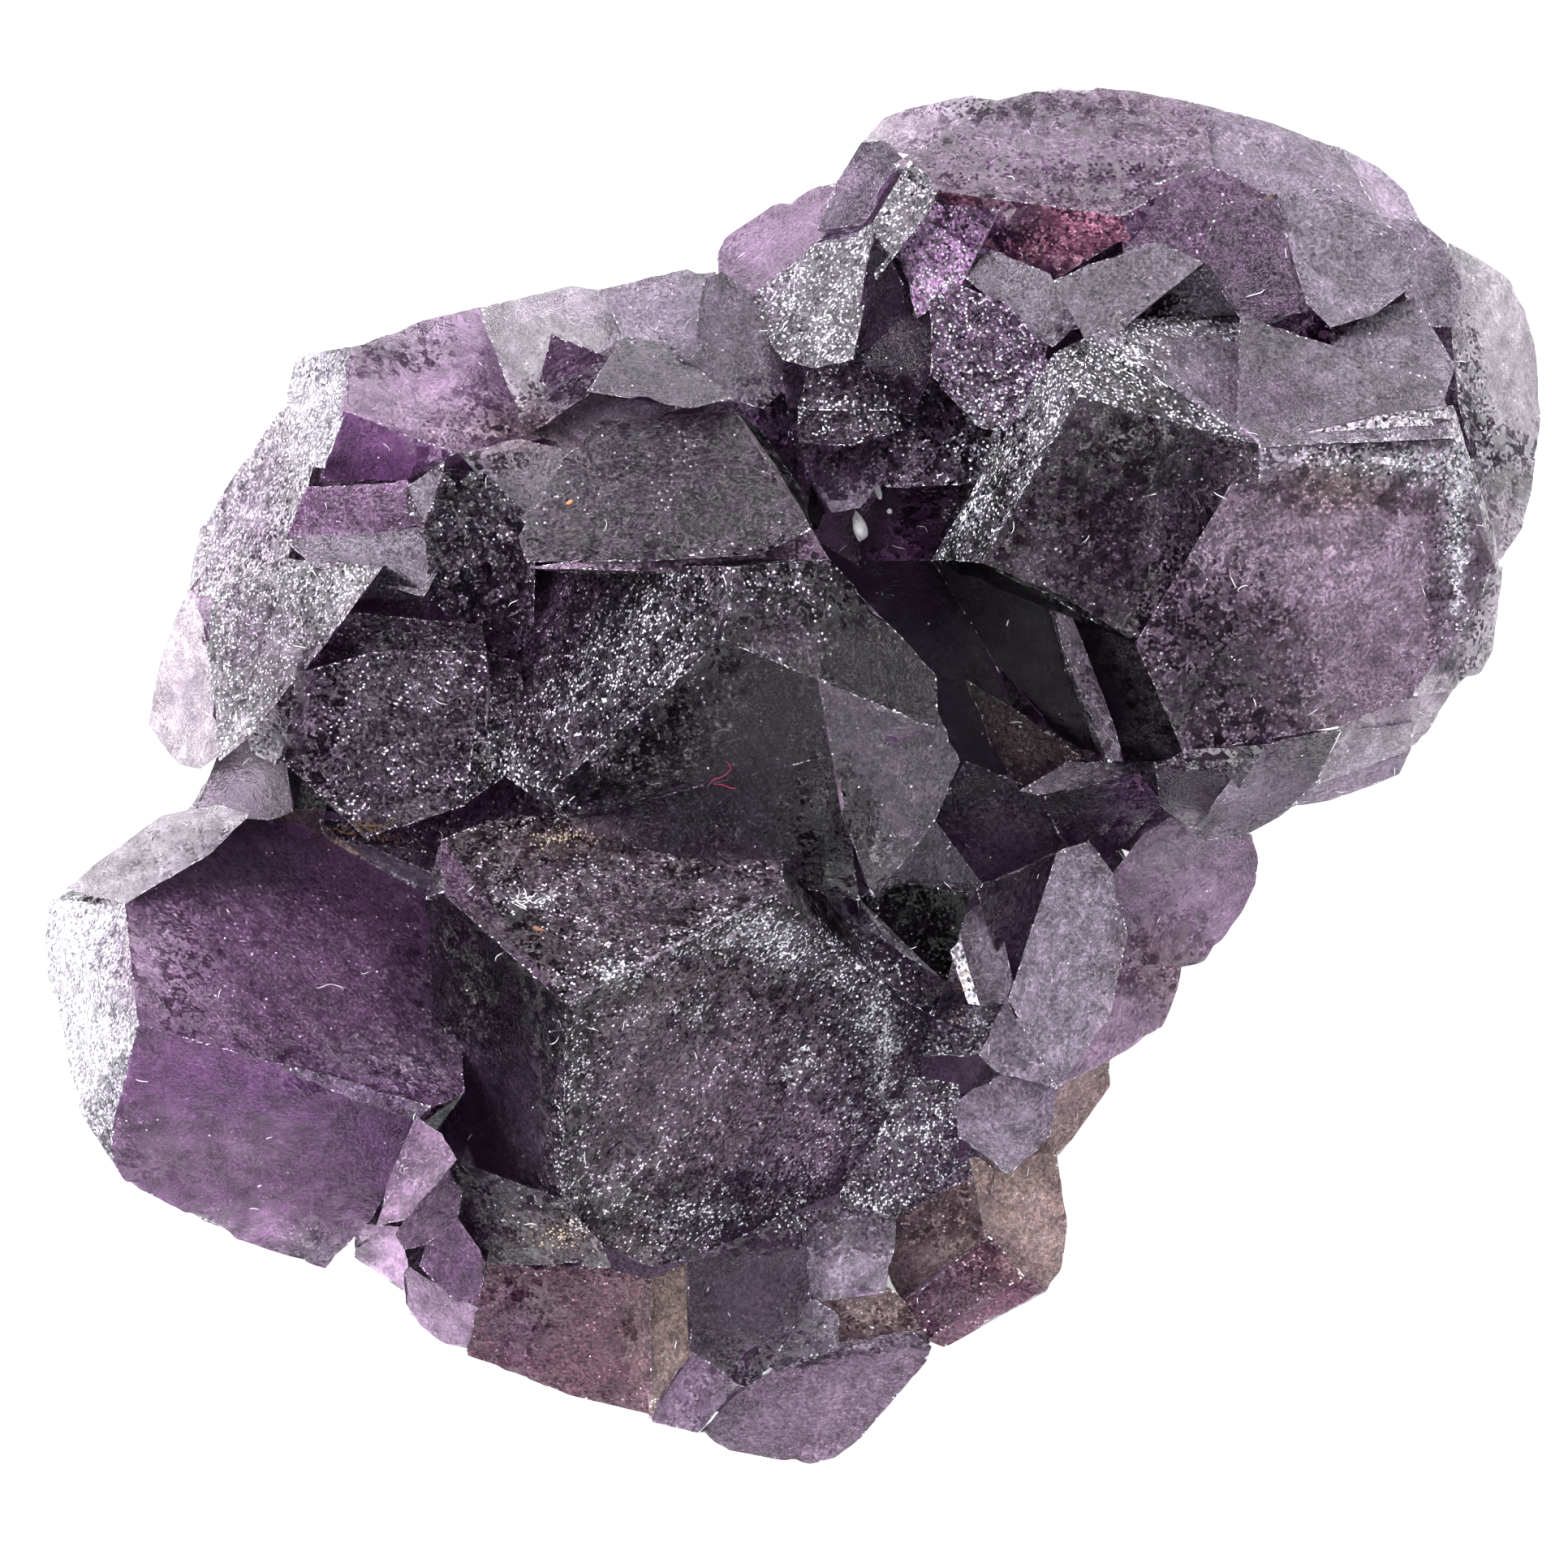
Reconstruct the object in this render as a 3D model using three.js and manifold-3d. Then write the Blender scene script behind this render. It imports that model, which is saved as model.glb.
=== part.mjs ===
// Fluorite crystal cluster: frosted purple cubes grown through one another,
// lying on a flat cut back. Millimetres, +Z up, origin at the centre of the
// underside.
//
// Every crystal is set out on a drawing sheet seen from straight above: a
// corner is [u, v, z] in sheet units, u to the right, v down the sheet and z
// up from it. A face is a normal (same axes) and the outline it shows.
import * as THREE from 'three';
import { ConvexHull } from 'three/addons/math/ConvexHull.js';
import Module from 'manifold-3d';

const wasm = await Module();
wasm.setup();

// ---- driving dimensions -------------------------------------------------
const UNIT = 0.04;          // mm to one sheet unit, so the cluster is about 74 mm long
const SHEET_CENTRE = 966;   // sheet coordinate that lies on the Z axis of the sheet
const VIEW_HEIGHT = 300;    // mm, height that the outlines are drawn from
const RELIEF = 0.85;        // height scale of the crystals
const BACK = -400;          // sheet units, level of the cut back before RELIEF
const GROW = 2.5;           // sheet units, how far a face runs under its neighbours
const ROOT = 1.15;          // depth of a crystal against its width
const TIDY = 0.26;          // mm, shortest edge kept where crystals meet
const DRAW_IN = 0.22;       // how much the hidden backs draw in to the middle

// ---- sheet to space -----------------------------------------------------
const spot = (u, v, z) => {
  const k = (VIEW_HEIGHT - z * RELIEF * UNIT) / VIEW_HEIGHT;
  return new THREE.Vector3((u - SHEET_CENTRE) * UNIT * k, (SHEET_CENTRE - v) * UNIT * k, z * RELIEF * UNIT);
};
const eye = new THREE.Vector3(0, 0, VIEW_HEIGHT);
const planeOf = ([nx, ny, nz], [u, v, z]) => new THREE.Plane().setFromCoplanarPoints(
  spot(u, v, z), spot(u, v + 100, z - 100 * ny / nz), spot(u + 100, v, z - 100 * nx / nz));
// level at which the line of sight through [u, v] meets a plane
const levelOn = (plane, u, v) => {
  const way = new THREE.Vector3((u - SHEET_CENTRE) * UNIT, (SHEET_CENTRE - v) * UNIT, 0).sub(eye);
  const t = (-plane.constant - plane.normal.dot(eye)) / plane.normal.dot(way);
  return (VIEW_HEIGHT + t * way.z) / (RELIEF * UNIT);
};

// ---- solids -------------------------------------------------------------
function solidOf(points) {
  const hull = new ConvexHull().setFromPoints(points);
  const index = new Map();
  const coords = [];
  const tris = [];
  const id = (p) => {
    if (!index.has(p)) { index.set(p, coords.length / 3); coords.push(p.x, p.y, p.z); }
    return index.get(p);
  };
  for (const face of hull.faces) {
    const ring = [];
    let edge = face.edge;
    do { ring.push(id(edge.head().point)); edge = edge.next; } while (edge !== face.edge);
    for (let i = 1; i < ring.length - 1; i++) tris.push(ring[0], ring[i], ring[i + 1]);
  }
  return new wasm.Manifold(new wasm.Mesh({ numProp: 3, vertProperties: new Float32Array(coords), triVerts: new Uint32Array(tris) }));
}

let cluster = null;
const join = (solid) => { cluster = cluster ? cluster.add(solid) : solid; };

// A crystal: its corner, the faces that show (normal, outline, own anchor if
// the face does not pass through the corner), and how deep it is rooted.
function grow(corner, faces, { root = ROOT, toward = [940, 930] } = {}) {
  const front = [];
  let cu = 0, cv = 0, n = 0;
  for (const [normal, outline, anchor = corner] of faces)
    for (let i = 0; i < outline.length; i += 2) { cu += outline[i]; cv += outline[i + 1]; n++; }
  cu /= n; cv /= n;
  const planes = faces.map(([normal, , anchor = corner]) => planeOf(normal, anchor));
  for (const [, outline] of faces)
    for (let i = 0; i < outline.length; i += 2) {
      const u = outline[i], v = outline[i + 1];
      const d = Math.hypot(u - cu, v - cv) || 1;
      const U = u + (u - cu) / d * GROW, V = v + (v - cv) / d * GROW;
      front.push([U, V, Math.min(...planes.map((plane) => levelOn(plane, U, V)))]);
    }
  const points = front.map(([u, v, z]) => spot(u, v, z));
  const width = 2 * front.reduce((sum, [u, v]) => sum + Math.hypot(u - cu, v - cv), 0) / front.length;
  const level = front.reduce((sum, [, , z]) => sum + z, 0) / front.length;
  const far = Math.hypot(toward[0] - cu, toward[1] - cv) || 1;
  // the hidden end is four sided, squared to the longest side of the outline
  let along = 0, longest = 0;
  for (let i = 1; i < front.length; i++) {
    const du = front[i][0] - front[i - 1][0], dv = front[i][1] - front[i - 1][1];
    if (Math.hypot(du, dv) > longest) { longest = Math.hypot(du, dv); along = Math.atan2(dv, du); }
  }
  const ends = new Set();
  for (let q = 0; q < 4; q++) {
    const a = along + Math.PI / 4 + q * Math.PI / 2;
    const reach = front.map(([u, v]) => (u - cu) * Math.cos(a) + (v - cv) * Math.sin(a));
    ends.add(front[reach.indexOf(Math.max(...reach))]);
  }
  for (const [u, v, z] of ends) {
    const r = Math.max(Math.min(level - root * width, z - 30), BACK - 30);
    const k = DRAW_IN * Math.min(1, (z - r) / width);
    const slip = 0.3 * k * width / far;
    points.push(spot(u + (cu - u) * k * 1.5 + (toward[0] - cu) * slip, v + (cv - v) * k * 1.5 + (toward[1] - cv) * slip, r));
  }
  join(solidOf(points));
}

// ---- the crystals -------------------------------------------------------
// the mass they all grow from: a left and a right lobe with a deep notch between
const mass = (points) => join(solidOf(points.map(([u, v, z]) => spot(u, v, z))));
mass([[420, 560, -160], [700, 480, -60], [930, 480, -80], [1000, 660, -120], [1080, 900, 0], [1100, 1100, -60], [980, 1180, -60], [700, 1150, 0],
  [330, 760, -160], [520, 560, -420], [900, 480, -420], [1120, 1100, -420], [640, 1200, -420], [380, 900, -420], [400, 1020, -160]]);
mass([[1050, 330, -120], [1250, 220, -80], [1560, 250, -80], [1760, 380, -120], [1760, 700, -100], [1480, 920, -80], [1250, 880, -120], [1130, 600, -140],
  [1150, 380, -420], [1550, 330, -420], [1650, 560, -420], [1480, 860, -420], [1250, 900, -420]]);
mass([[420, 620, -230], [800, 520, -200], [900, 900, -140], [560, 1200, -200], [300, 1100, -230], [350, 820, -230], [500, 600, -420], [980, 1000, -420], [420, 1150, -420], [700, 1250, -260], [1050, 1100, -200]]);
mass([[420, 1470, -60], [560, 1420, -40], [640, 1560, -150], [600, 1640, -190], [520, 1600, -110], [440, 1540, -50], [480, 1400, -260], [600, 1500, -320], [560, 1620, -300]]);
mass([[230, 730, -140], [260, 900, -130], [330, 990, -120], [420, 1010, -110], [420, 620, -90], [330, 600, -120], [440, 900, -300], [440, 640, -280]]);
mass([[930, 470, -50], [1000, 440, -40], [1010, 560, -60], [1060, 700, -170], [960, 640, -110], [990, 520, -300], [1120, 260, -80], [1060, 240, -90], [1020, 300, -110], [1100, 420, -60], [1150, 500, -60]]);
mass([[1300, 980, -100], [1450, 960, -60], [1560, 930, -60], [1640, 900, -60], [1430, 1060, -110], [1350, 1040, -110], [1400, 900, -80], [1420, 1000, -300], [1560, 900, -250]]);
mass([[1720, 300, -120], [1790, 330, -130], [1830, 400, -130], [1850, 480, -140], [1840, 600, -140], [1780, 640, -100], [1700, 420, -60], [1680, 560, -380], [1640, 400, -380]]);
mass([[360, 560, -60], [420, 560, -20], [420, 640, -20], [360, 640, -50], [400, 600, -250]]);
mass([[1290, 890, -60], [1380, 920, -40], [1360, 960, -60], [1300, 980, -90], [1340, 930, -250]]);
mass([[1060, 200, -60], [1120, 200, -50], [1120, 270, -50], [1060, 300, -60], [1005, 300, -80], [1080, 260, -260]]);
mass([[860, 1670, -225], [940, 1680, -225], [940, 1740, -270], [870, 1740, -270], [900, 1700, -330]]);
mass([[1000, 640, -260], [1200, 700, -250], [1300, 940, -140], [1400, 1080, -170], [1360, 1200, -220], [1220, 1460, -330], [1000, 1660, -350], [700, 1600, -330],
  [420, 1440, -200], [250, 1180, -240], [1000, 500, -420], [1300, 1000, -420], [1100, 1450, -420], [640, 1480, -420], [420, 1300, -420]]);

// lower left cube
grow([172, 1262, 250], [
  [[0.355, -0.739, 0.572], [172, 1262, 155, 1110, 255, 1052, 310, 1005, 545, 1055, 525, 1110, 520, 1190, 548, 1260, 572, 1345, 530, 1365, 350, 1312]],
  [[0.067, 0.508, 0.859], [172, 1262, 350, 1312, 530, 1365, 475, 1470, 450, 1510, 400, 1562, 290, 1525, 155, 1455, 140, 1390]],
  [[-0.90, -0.18, 0.40], [172, 1262, 155, 1110, 60, 1110, 55, 1180, 100, 1370, 140, 1430, 143, 1390]],
]);
// its bevelled far edge, the ridge beside the corner and the ledge below it
grow([155, 1110, 60], [[[-0.2, -0.62, 0.76], [155, 1112, 75, 1095, 150, 1045, 200, 1005, 268, 993, 310, 1003, 255, 1054]]]);
grow([350, 1312, 235], [[[0.1, -0.1, 0.99], [350, 1310, 440, 1336, 530, 1362, 512, 1382, 440, 1356, 360, 1326]]]);
grow([520, 1378, 185], [[[0.3, 0.45, 0.84], [512, 1376, 545, 1398, 562, 1430, 540, 1452, 500, 1502, 463, 1512, 473, 1470]]]);
grow([545, 1430, 120], [[[0.45, 0.5, 0.74], [545, 1428, 570, 1470, 562, 1502, 525, 1532, 498, 1540, 488, 1520, 518, 1468]]]);
grow([560, 1500, 60], [[[0.1, 0.45, 0.89], [560, 1498, 602, 1556, 588, 1602, 558, 1602, 518, 1560, 528, 1528]]]);
grow([440, 1512, 20], [[[-0.25, 0.6, 0.76], [438, 1508, 492, 1513, 502, 1560, 499, 1600, 438, 1550]]]);
grow([500, 1560, 0], [[[-0.3, 0.45, 0.84], [498, 1558, 556, 1598, 588, 1612, 577, 1668, 540, 1650, 503, 1620]]]);

// upper left crystals
grow([425, 505, 60], [
  [[0.36, -0.60, 0.70], [425, 505, 430, 430, 520, 396, 590, 379, 640, 415, 665, 540, 560, 558, 462, 506]],
  [[-0.01, 0.52, 0.85], [425, 505, 462, 505, 560, 557, 500, 590, 395, 592]],
]);
grow([425, 505, 52], [[[-0.80, -0.38, 0.47], [425, 505, 430, 428, 365, 440, 352, 500, 385, 575, 400, 575]]]);
grow([400, 600, 60], [[[-0.10, 0.10, 0.99], [378, 600, 500, 592, 522, 640, 500, 650, 400, 668, 352, 668]]]);
grow([505, 600, 75], [[[-0.55, 0.1, 0.83], [503, 600, 548, 568, 528, 652, 505, 640]]]);
grow([400, 690, 70], [[[-0.1, -0.45, 0.88], [352, 666, 400, 655, 520, 648, 540, 700, 520, 735, 470, 700, 410, 706, 390, 700]]]);
grow([400, 570, 20], [[[-0.80, -0.30, 0.52], [385, 575, 350, 500, 300, 570, 248, 650, 230, 735, 268, 732, 352, 690, 360, 640, 378, 600]]]);
grow([400, 745, 95], [
  [[-0.72, -0.28, 0.63], [402, 790, 415, 745, 470, 700, 400, 692, 350, 690, 262, 730, 257, 800, 270, 938, 302, 912, 350, 850]],
]);
grow([262, 800, -80], [[[-0.6, -0.1, 0.79], [225, 740, 200, 800, 183, 890, 192, 905, 220, 942, 246, 946, 270, 930, 262, 800, 240, 740]]]);
grow([260, 940, -110], [[[-0.2, 0.3, 0.93], [270, 930, 266, 992, 240, 1002, 330, 1010, 360, 1000, 350, 930, 310, 905]]]);
grow([240, 960, -150], [[[-0.5, 0.2, 0.84], [266, 945, 274, 998, 226, 1002]]]);
grow([475, 700, 112], [[[-0.15, 0.62, 0.77], [475, 698, 534, 736, 502, 788, 402, 756, 412, 735]]]);
grow([405, 760, 85], [[[-0.2, 0.55, 0.81], [400, 752, 500, 782, 590, 770, 600, 808, 470, 806, 385, 825, 345, 848, 355, 830]]]);
grow([470, 805, 128], [
  [[-0.05, 0.42, 0.90], [365, 830, 470, 803, 598, 803, 602, 850, 592, 930, 572, 992, 450, 1032, 378, 962, 350, 938]],
]);
grow([350, 845, 60], [[[-0.5, 0.55, 0.67], [345, 845, 365, 832, 352, 925, 340, 945, 310, 925, 305, 905]]]);
grow([600, 805, 118], [[[0.5, 0.25, 0.83], [596, 803, 640, 818, 645, 860, 622, 955, 580, 985, 572, 990, 592, 930]]]);
grow([430, 1020, -60], [[[0, -0.3, 0.95], [395, 1010, 470, 1025, 560, 1010, 580, 1030, 545, 1055, 460, 1045, 400, 1030]]]);
grow([560, 580, 140], [[[0.05, 0.35, 0.93], [546, 578, 600, 585, 652, 640, 658, 700, 656, 822, 640, 822, 590, 800, 532, 736, 522, 655]]]);

// the ridge behind the middle
grow([700, 500, 25], [[[0.1, -0.5, 0.86], [590, 379, 640, 372, 662, 378, 702, 353, 752, 358, 770, 415, 680, 470, 640, 512]]]);
grow([690, 450, 62], [[[0.15, 0.5, 0.85], [680, 413, 748, 440, 690, 482, 665, 470]]]);
grow([800, 470, 30], [[[-0.15, -0.5, 0.85], [740, 356, 802, 353, 846, 332, 870, 345, 868, 400, 850, 450, 905, 492, 770, 415]]]);
grow([870, 400, 60], [[[0.35, -0.45, 0.82], [868, 345, 890, 335, 925, 362, 965, 440, 962, 482, 940, 502, 900, 492, 850, 450]]]);
grow([905, 380, 40], [[[-0.45, -0.4, 0.8], [840, 340, 882, 335, 872, 400, 850, 455, 820, 420, 790, 380]]]);
grow([770, 418, 98], [[[0.05, -0.60, 0.80], [770, 414, 816, 420, 906, 491, 850, 502, 724, 482]]]);
grow([640, 512, 60], [[[-0.3, -0.5, 0.81], [638, 512, 768, 414, 775, 420, 725, 484, 655, 535]]]);
grow([700, 520, 40], [[[0.2, -0.3, 0.93], [655, 535, 725, 482, 850, 500, 760, 522, 735, 525, 705, 562, 690, 555]]]);
grow([650, 560, 88], [[[-0.12, -0.35, 0.93], [598, 582, 560, 556, 640, 542, 690, 553, 704, 562, 660, 640, 648, 645]]]);
grow([905, 510, 110], [
  [[0.02, -0.62, 0.79], [735, 521, 770, 520, 905, 508, 950, 570, 992, 640, 932, 682, 800, 690, 650, 692, 640, 660, 700, 560]],
  [[0.59, -0.70, 0.40], [905, 508, 950, 570, 992, 640, 1000, 652, 985, 600, 935, 530]],
]);
grow([940, 520, 20], [[[-0.2, 0.3, 0.93], [905, 512, 968, 486, 980, 560, 990, 640, 945, 555]]]);
grow([1000, 640, -70], [[[0, 0.2, 0.97], [970, 590, 1000, 600, 1020, 630, 1010, 655, 990, 650]]]);
grow([940, 690, 195], [[[0.25, -0.25, 0.93], [800, 690, 935, 680, 992, 640, 1022, 692, 900, 706, 650, 700]]]);

// the middle: a bright left face, a dark lower face, a frosted right face
grow([890, 790, 330], [
  [[-0.70, -0.33, 0.635], [890, 790, 905, 700, 650, 692, 655, 780, 640, 850, 625, 957, 680, 973]],
  [[-0.058, 0.552, 0.832], [890, 790, 680, 973, 700, 1008, 860, 948, 950, 925, 1050, 905, 1015, 842, 960, 805]],
  [[0.304, -0.255, 0.917], [890, 790, 905, 700, 1022, 690, 1062, 770, 1152, 832, 1156, 900, 1060, 900, 1012, 840]],
]);
grow([1012, 842, 304], [
  [[0.26, 0.31, 0.915], [1010, 840, 1156, 880, 1182, 940, 1150, 1012, 1085, 1100, 1076, 1110, 1038, 1000]],
]);
grow([950, 925, 225], [
  [[-0.10, 0.52, 0.85], [850, 948, 950, 923, 1030, 903, 1042, 1000, 1058, 1110, 970, 1037, 700, 1025, 700, 1008]],
]);
// large central cube
grow([700, 1240, 300], [
  [[0.56, 0.52, 0.645], [700, 1240, 830, 1165, 960, 1100, 1020, 1155, 1140, 1260, 1125, 1330, 1120, 1420, 1030, 1470, 850, 1550, 800, 1560, 740, 1530, 690, 1480]],
  [[-0.064, -0.70, 0.72], [700, 1240, 545, 1100, 545, 1035, 620, 1005, 700, 1010, 960, 1035, 965, 1095]],
  [[-0.795, 0.349, 0.496], [700, 1240, 545, 1100, 525, 1110, 560, 1250, 590, 1340, 545, 1390, 570, 1450, 650, 1490, 690, 1480]],
]);
grow([690, 1480, 112], [[[-0.35, 0.70, 0.62], [560, 1430, 650, 1478, 690, 1478, 742, 1535, 752, 1562, 600, 1557, 563, 1492]]]);
// dark strips between the central cube and the right lobe
grow([970, 1040, 60], [[[0.35, 0.2, 0.91], [968, 1038, 1012, 1110, 1062, 1140, 1112, 1198, 1164, 1208, 1150, 1252, 1108, 1232, 1010, 1152, 962, 1092]]]);
grow([1100, 1110, 20], [[[0.1, 0.55, 0.83], [1060, 1108, 1110, 1090, 1197, 1098, 1180, 1145, 1165, 1210, 1095, 1160]]]);
grow([1110, 1060, 40], [[[0.2, 0.5, 0.84], [1085, 1098, 1150, 1010, 1210, 1090, 1190, 1110, 1100, 1112, 1062, 1140, 1058, 1110]]]);
grow([1120, 1400, -165], [[[0.45, 0.35, 0.82], [1036, 1468, 1120, 1415, 1126, 1325, 1182, 1338, 1178, 1440, 1102, 1502, 1040, 1502]]]);

// behind the notch, left side of the right lobe
grow([1010, 290, -60], [[[-0.2, -0.4, 0.89], [884, 312, 895, 292, 950, 255, 1000, 232, 1032, 225, 1020, 285, 930, 370, 884, 345]]]);
grow([1060, 230, 10], [[[-0.45, 0.1, 0.89], [1030, 228, 1060, 178, 1092, 173, 1114, 200, 1065, 275, 1008, 284]]]);
grow([1130, 160, -30], [[[-0.3, -0.6, 0.74], [1060, 178, 1090, 145, 1120, 134, 1195, 117, 1232, 122, 1202, 152, 1130, 192, 1088, 182]]]);
grow([1060, 380, 130], [[[-0.62, -0.50, 0.60], [1075, 276, 1062, 380, 1050, 442, 1002, 452, 965, 442, 922, 378, 934, 358, 1005, 302]]]);
grow([1060, 380, 128], [[[0.55, 0.45, 0.70], [1076, 280, 1112, 350, 1118, 392, 1060, 438, 1048, 442, 1062, 380]]]);
grow([1075, 280, 105], [[[-0.55, -0.45, 0.70], [1072, 282, 1120, 198, 1160, 232, 1150, 252, 1102, 302, 1080, 345]]]);
grow([1130, 330, 95], [[[-0.30, 0.10, 0.95], [1110, 272, 1150, 250, 1232, 258, 1195, 315, 1182, 352, 1146, 372, 1130, 392, 1103, 312]]]);
grow([1040, 480, 60], [[[-0.25, -0.25, 0.93], [998, 452, 1062, 434, 1100, 445, 1102, 505, 1000, 505, 985, 500]]]);
grow([1090, 400, 85], [[[0.15, -0.3, 0.94], [1060, 438, 1118, 390, 1146, 372, 1150, 450, 1125, 510, 1100, 506]]]);
grow([1040, 510, 50], [[[-0.1, -0.5, 0.86], [985, 500, 1100, 500, 1112, 530, 1045, 548, 985, 545]]]);
grow([1040, 560, 10], [[[-0.2, 0.2, 0.96], [980, 545, 1050, 542, 1098, 545, 1085, 590, 1060, 625, 1025, 630, 1000, 590]]]);
grow([1150, 540, 30], [[[0.2, -0.2, 0.96], [1100, 520, 1150, 462, 1205, 522, 1240, 530, 1208, 592, 1160, 600, 1090, 600, 1098, 545]]]);
grow([1140, 620, -40], [[[0.1, 0.55, 0.83], [1088, 598, 1205, 588, 1165, 655, 1150, 690, 1060, 690, 1055, 650]]]);
grow([1210, 440, 118], [[[-0.22, 0.30, 0.93], [1145, 372, 1182, 352, 1240, 375, 1292, 428, 1293, 462, 1242, 532, 1200, 525, 1150, 462]]]);
// top of the right lobe
grow([1380, 265, 115], [
  [[0.02, -0.66, 0.75], [1380, 267, 1160, 237, 1102, 202, 1150, 178, 1232, 124, 1300, 104, 1400, 113, 1482, 128, 1492, 202, 1402, 236]],
  [[-0.15, 0.51, 0.85], [1380, 265, 1160, 235, 1202, 302, 1302, 342, 1392, 292]],
]);
grow([1300, 380, 135], [[[-0.12, -0.25, 0.96], [1188, 342, 1222, 308, 1292, 338, 1332, 402, 1296, 428, 1240, 375]]]);
grow([1400, 340, 150], [[[0.15, -0.35, 0.92], [1298, 345, 1388, 308, 1432, 298, 1482, 324, 1442, 352, 1372, 412, 1338, 417]]]);
grow([1480, 360, 120], [[[0.1, 0.45, 0.89], [1438, 350, 1490, 328, 1532, 387, 1400, 397]]]);
grow([1560, 320, 128], [[[-0.15, -0.1, 0.98], [1480, 325, 1500, 253, 1572, 238, 1592, 300, 1612, 382, 1545, 402, 1520, 385]]]);
grow([1400, 260, 90], [[[0.05, -0.15, 0.98], [1385, 262, 1402, 236, 1490, 202, 1560, 240, 1500, 255, 1482, 325, 1432, 298, 1385, 310]]]);
grow([1640, 320, 135], [[[0.12, -0.35, 0.93], [1570, 238, 1640, 233, 1702, 270, 1747, 310, 1747, 346, 1692, 386, 1640, 402, 1610, 372, 1592, 300]]]);
grow([1600, 410, 115], [[[0.1, 0.5, 0.86], [1533, 415, 1545, 400, 1625, 382, 1647, 400, 1637, 452]]]);
grow([1700, 430, 135], [[[0.1, -0.4, 0.91], [1643, 400, 1742, 368, 1752, 400, 1792, 450, 1777, 502, 1640, 452]]]);
grow([1600, 210, 20], [[[0.15, -0.70, 0.70], [1478, 128, 1520, 145, 1560, 150, 1600, 166, 1652, 182, 1702, 270, 1640, 236, 1550, 242, 1492, 204]]]);
grow([1700, 250, -20], [[[0.50, -0.55, 0.67], [1650, 180, 1680, 205, 1700, 208, 1732, 235, 1750, 272, 1702, 292, 1660, 240]]]);
grow([1770, 350, 20], [[[0.45, -0.20, 0.87], [1700, 268, 1748, 272, 1782, 300, 1802, 352, 1792, 402, 1745, 402, 1742, 346]]]);
grow([1800, 420, -10], [[[0.72, -0.25, 0.65], [1785, 300, 1820, 318, 1862, 345, 1872, 365, 1887, 402, 1893, 450, 1897, 512, 1888, 600, 1876, 650, 1850, 668, 1842, 700, 1802, 532, 1790, 420]]]);
// right hand cubes
grow([1330, 490, 300], [
  [[0.10, 0.45, 0.89], [1330, 490, 1550, 548, 1548, 640, 1482, 692, 1402, 792, 1310, 732, 1210, 692]],
  [[-0.82, -0.27, 0.50], [1330, 490, 1300, 438, 1262, 505, 1222, 570, 1148, 690, 1210, 692]],
  [[0.35, -0.70, 0.62], [1330, 490, 1300, 436, 1345, 415, 1400, 394, 1532, 388, 1560, 420, 1550, 548]],
]);
grow([1550, 548, 238], [[[0.10, -0.45, 0.89], [1528, 388, 1560, 420, 1642, 450, 1772, 470, 1792, 540, 1702, 515, 1550, 550, 1525, 540]]]);
grow([1550, 555, 228], [
  [[0.15, 0.22, 0.96], [1550, 548, 1702, 513, 1762, 520, 1802, 560, 1842, 700, 1792, 792, 1742, 857, 1652, 892, 1460, 928, 1453, 870, 1400, 792, 1482, 690, 1548, 640]],
  [[0.85, -0.1, 0.51], [1762, 518, 1790, 500, 1850, 690, 1843, 702, 1802, 560], [1803, 560, 188]],
]);
grow([1840, 700, 120], [[[0.70, 0.35, 0.62], [1842, 700, 1852, 698, 1846, 752, 1838, 802, 1825, 827, 1795, 847, 1790, 850, 1740, 857, 1792, 790]]]);
grow([1790, 850, 60], [[[0.4, 0.55, 0.73], [1740, 857, 1797, 845, 1776, 870, 1752, 886, 1747, 918, 1735, 925, 1655, 905, 1650, 892]]]);
// underside of the right lobe
grow([1460, 928, 150], [[[-0.25, 0.80, 0.55], [1425, 945, 1460, 926, 1560, 918, 1520, 980, 1472, 1022, 1430, 992]]]);
grow([1600, 930, 150], [[[0.10, 0.72, 0.68], [1553, 920, 1652, 898, 1622, 960, 1582, 1002, 1562, 1012, 1540, 1026, 1480, 1037, 1470, 1020]]]);
grow([1655, 905, 90], [[[0.2, 0.45, 0.87], [1655, 903, 1742, 888, 1737, 925, 1620, 967]]]);
grow([1620, 965, 50], [[[0.2, 0.75, 0.63], [1618, 965, 1737, 924, 1722, 956, 1682, 970, 1640, 985, 1590, 995]]]);
grow([1300, 740, 60], [[[-0.30, 0.55, 0.78], [1148, 690, 1210, 690, 1322, 738, 1402, 792, 1456, 870, 1466, 930, 1372, 946, 1300, 902, 1218, 802]]]);
grow([1300, 740, 92], [[[-0.6, 0.3, 0.74], [1290, 733, 1312, 735, 1372, 890, 1388, 938, 1364, 942, 1310, 800]]]);
grow([1290, 900, -20], [[[-0.1, 0.30, 0.95], [1190, 838, 1290, 898, 1342, 940, 1302, 977, 1258, 972, 1222, 920]]]);
grow([1260, 975, 0], [[[0, -0.3, 0.95], [1256, 974, 1320, 938, 1435, 938, 1402, 957, 1280, 980]]]);
grow([1350, 990, -10], [[[0.05, 0.65, 0.76], [1288, 982, 1402, 953, 1432, 992, 1382, 1042, 1350, 1072, 1308, 1032]]]);
grow([1160, 760, -260], [[[-0.2, 0.2, 0.96], [1060, 690, 1150, 680, 1220, 800, 1225, 920, 1190, 945, 1160, 900, 1150, 830, 1062, 772, 1020, 692]]]);

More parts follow.
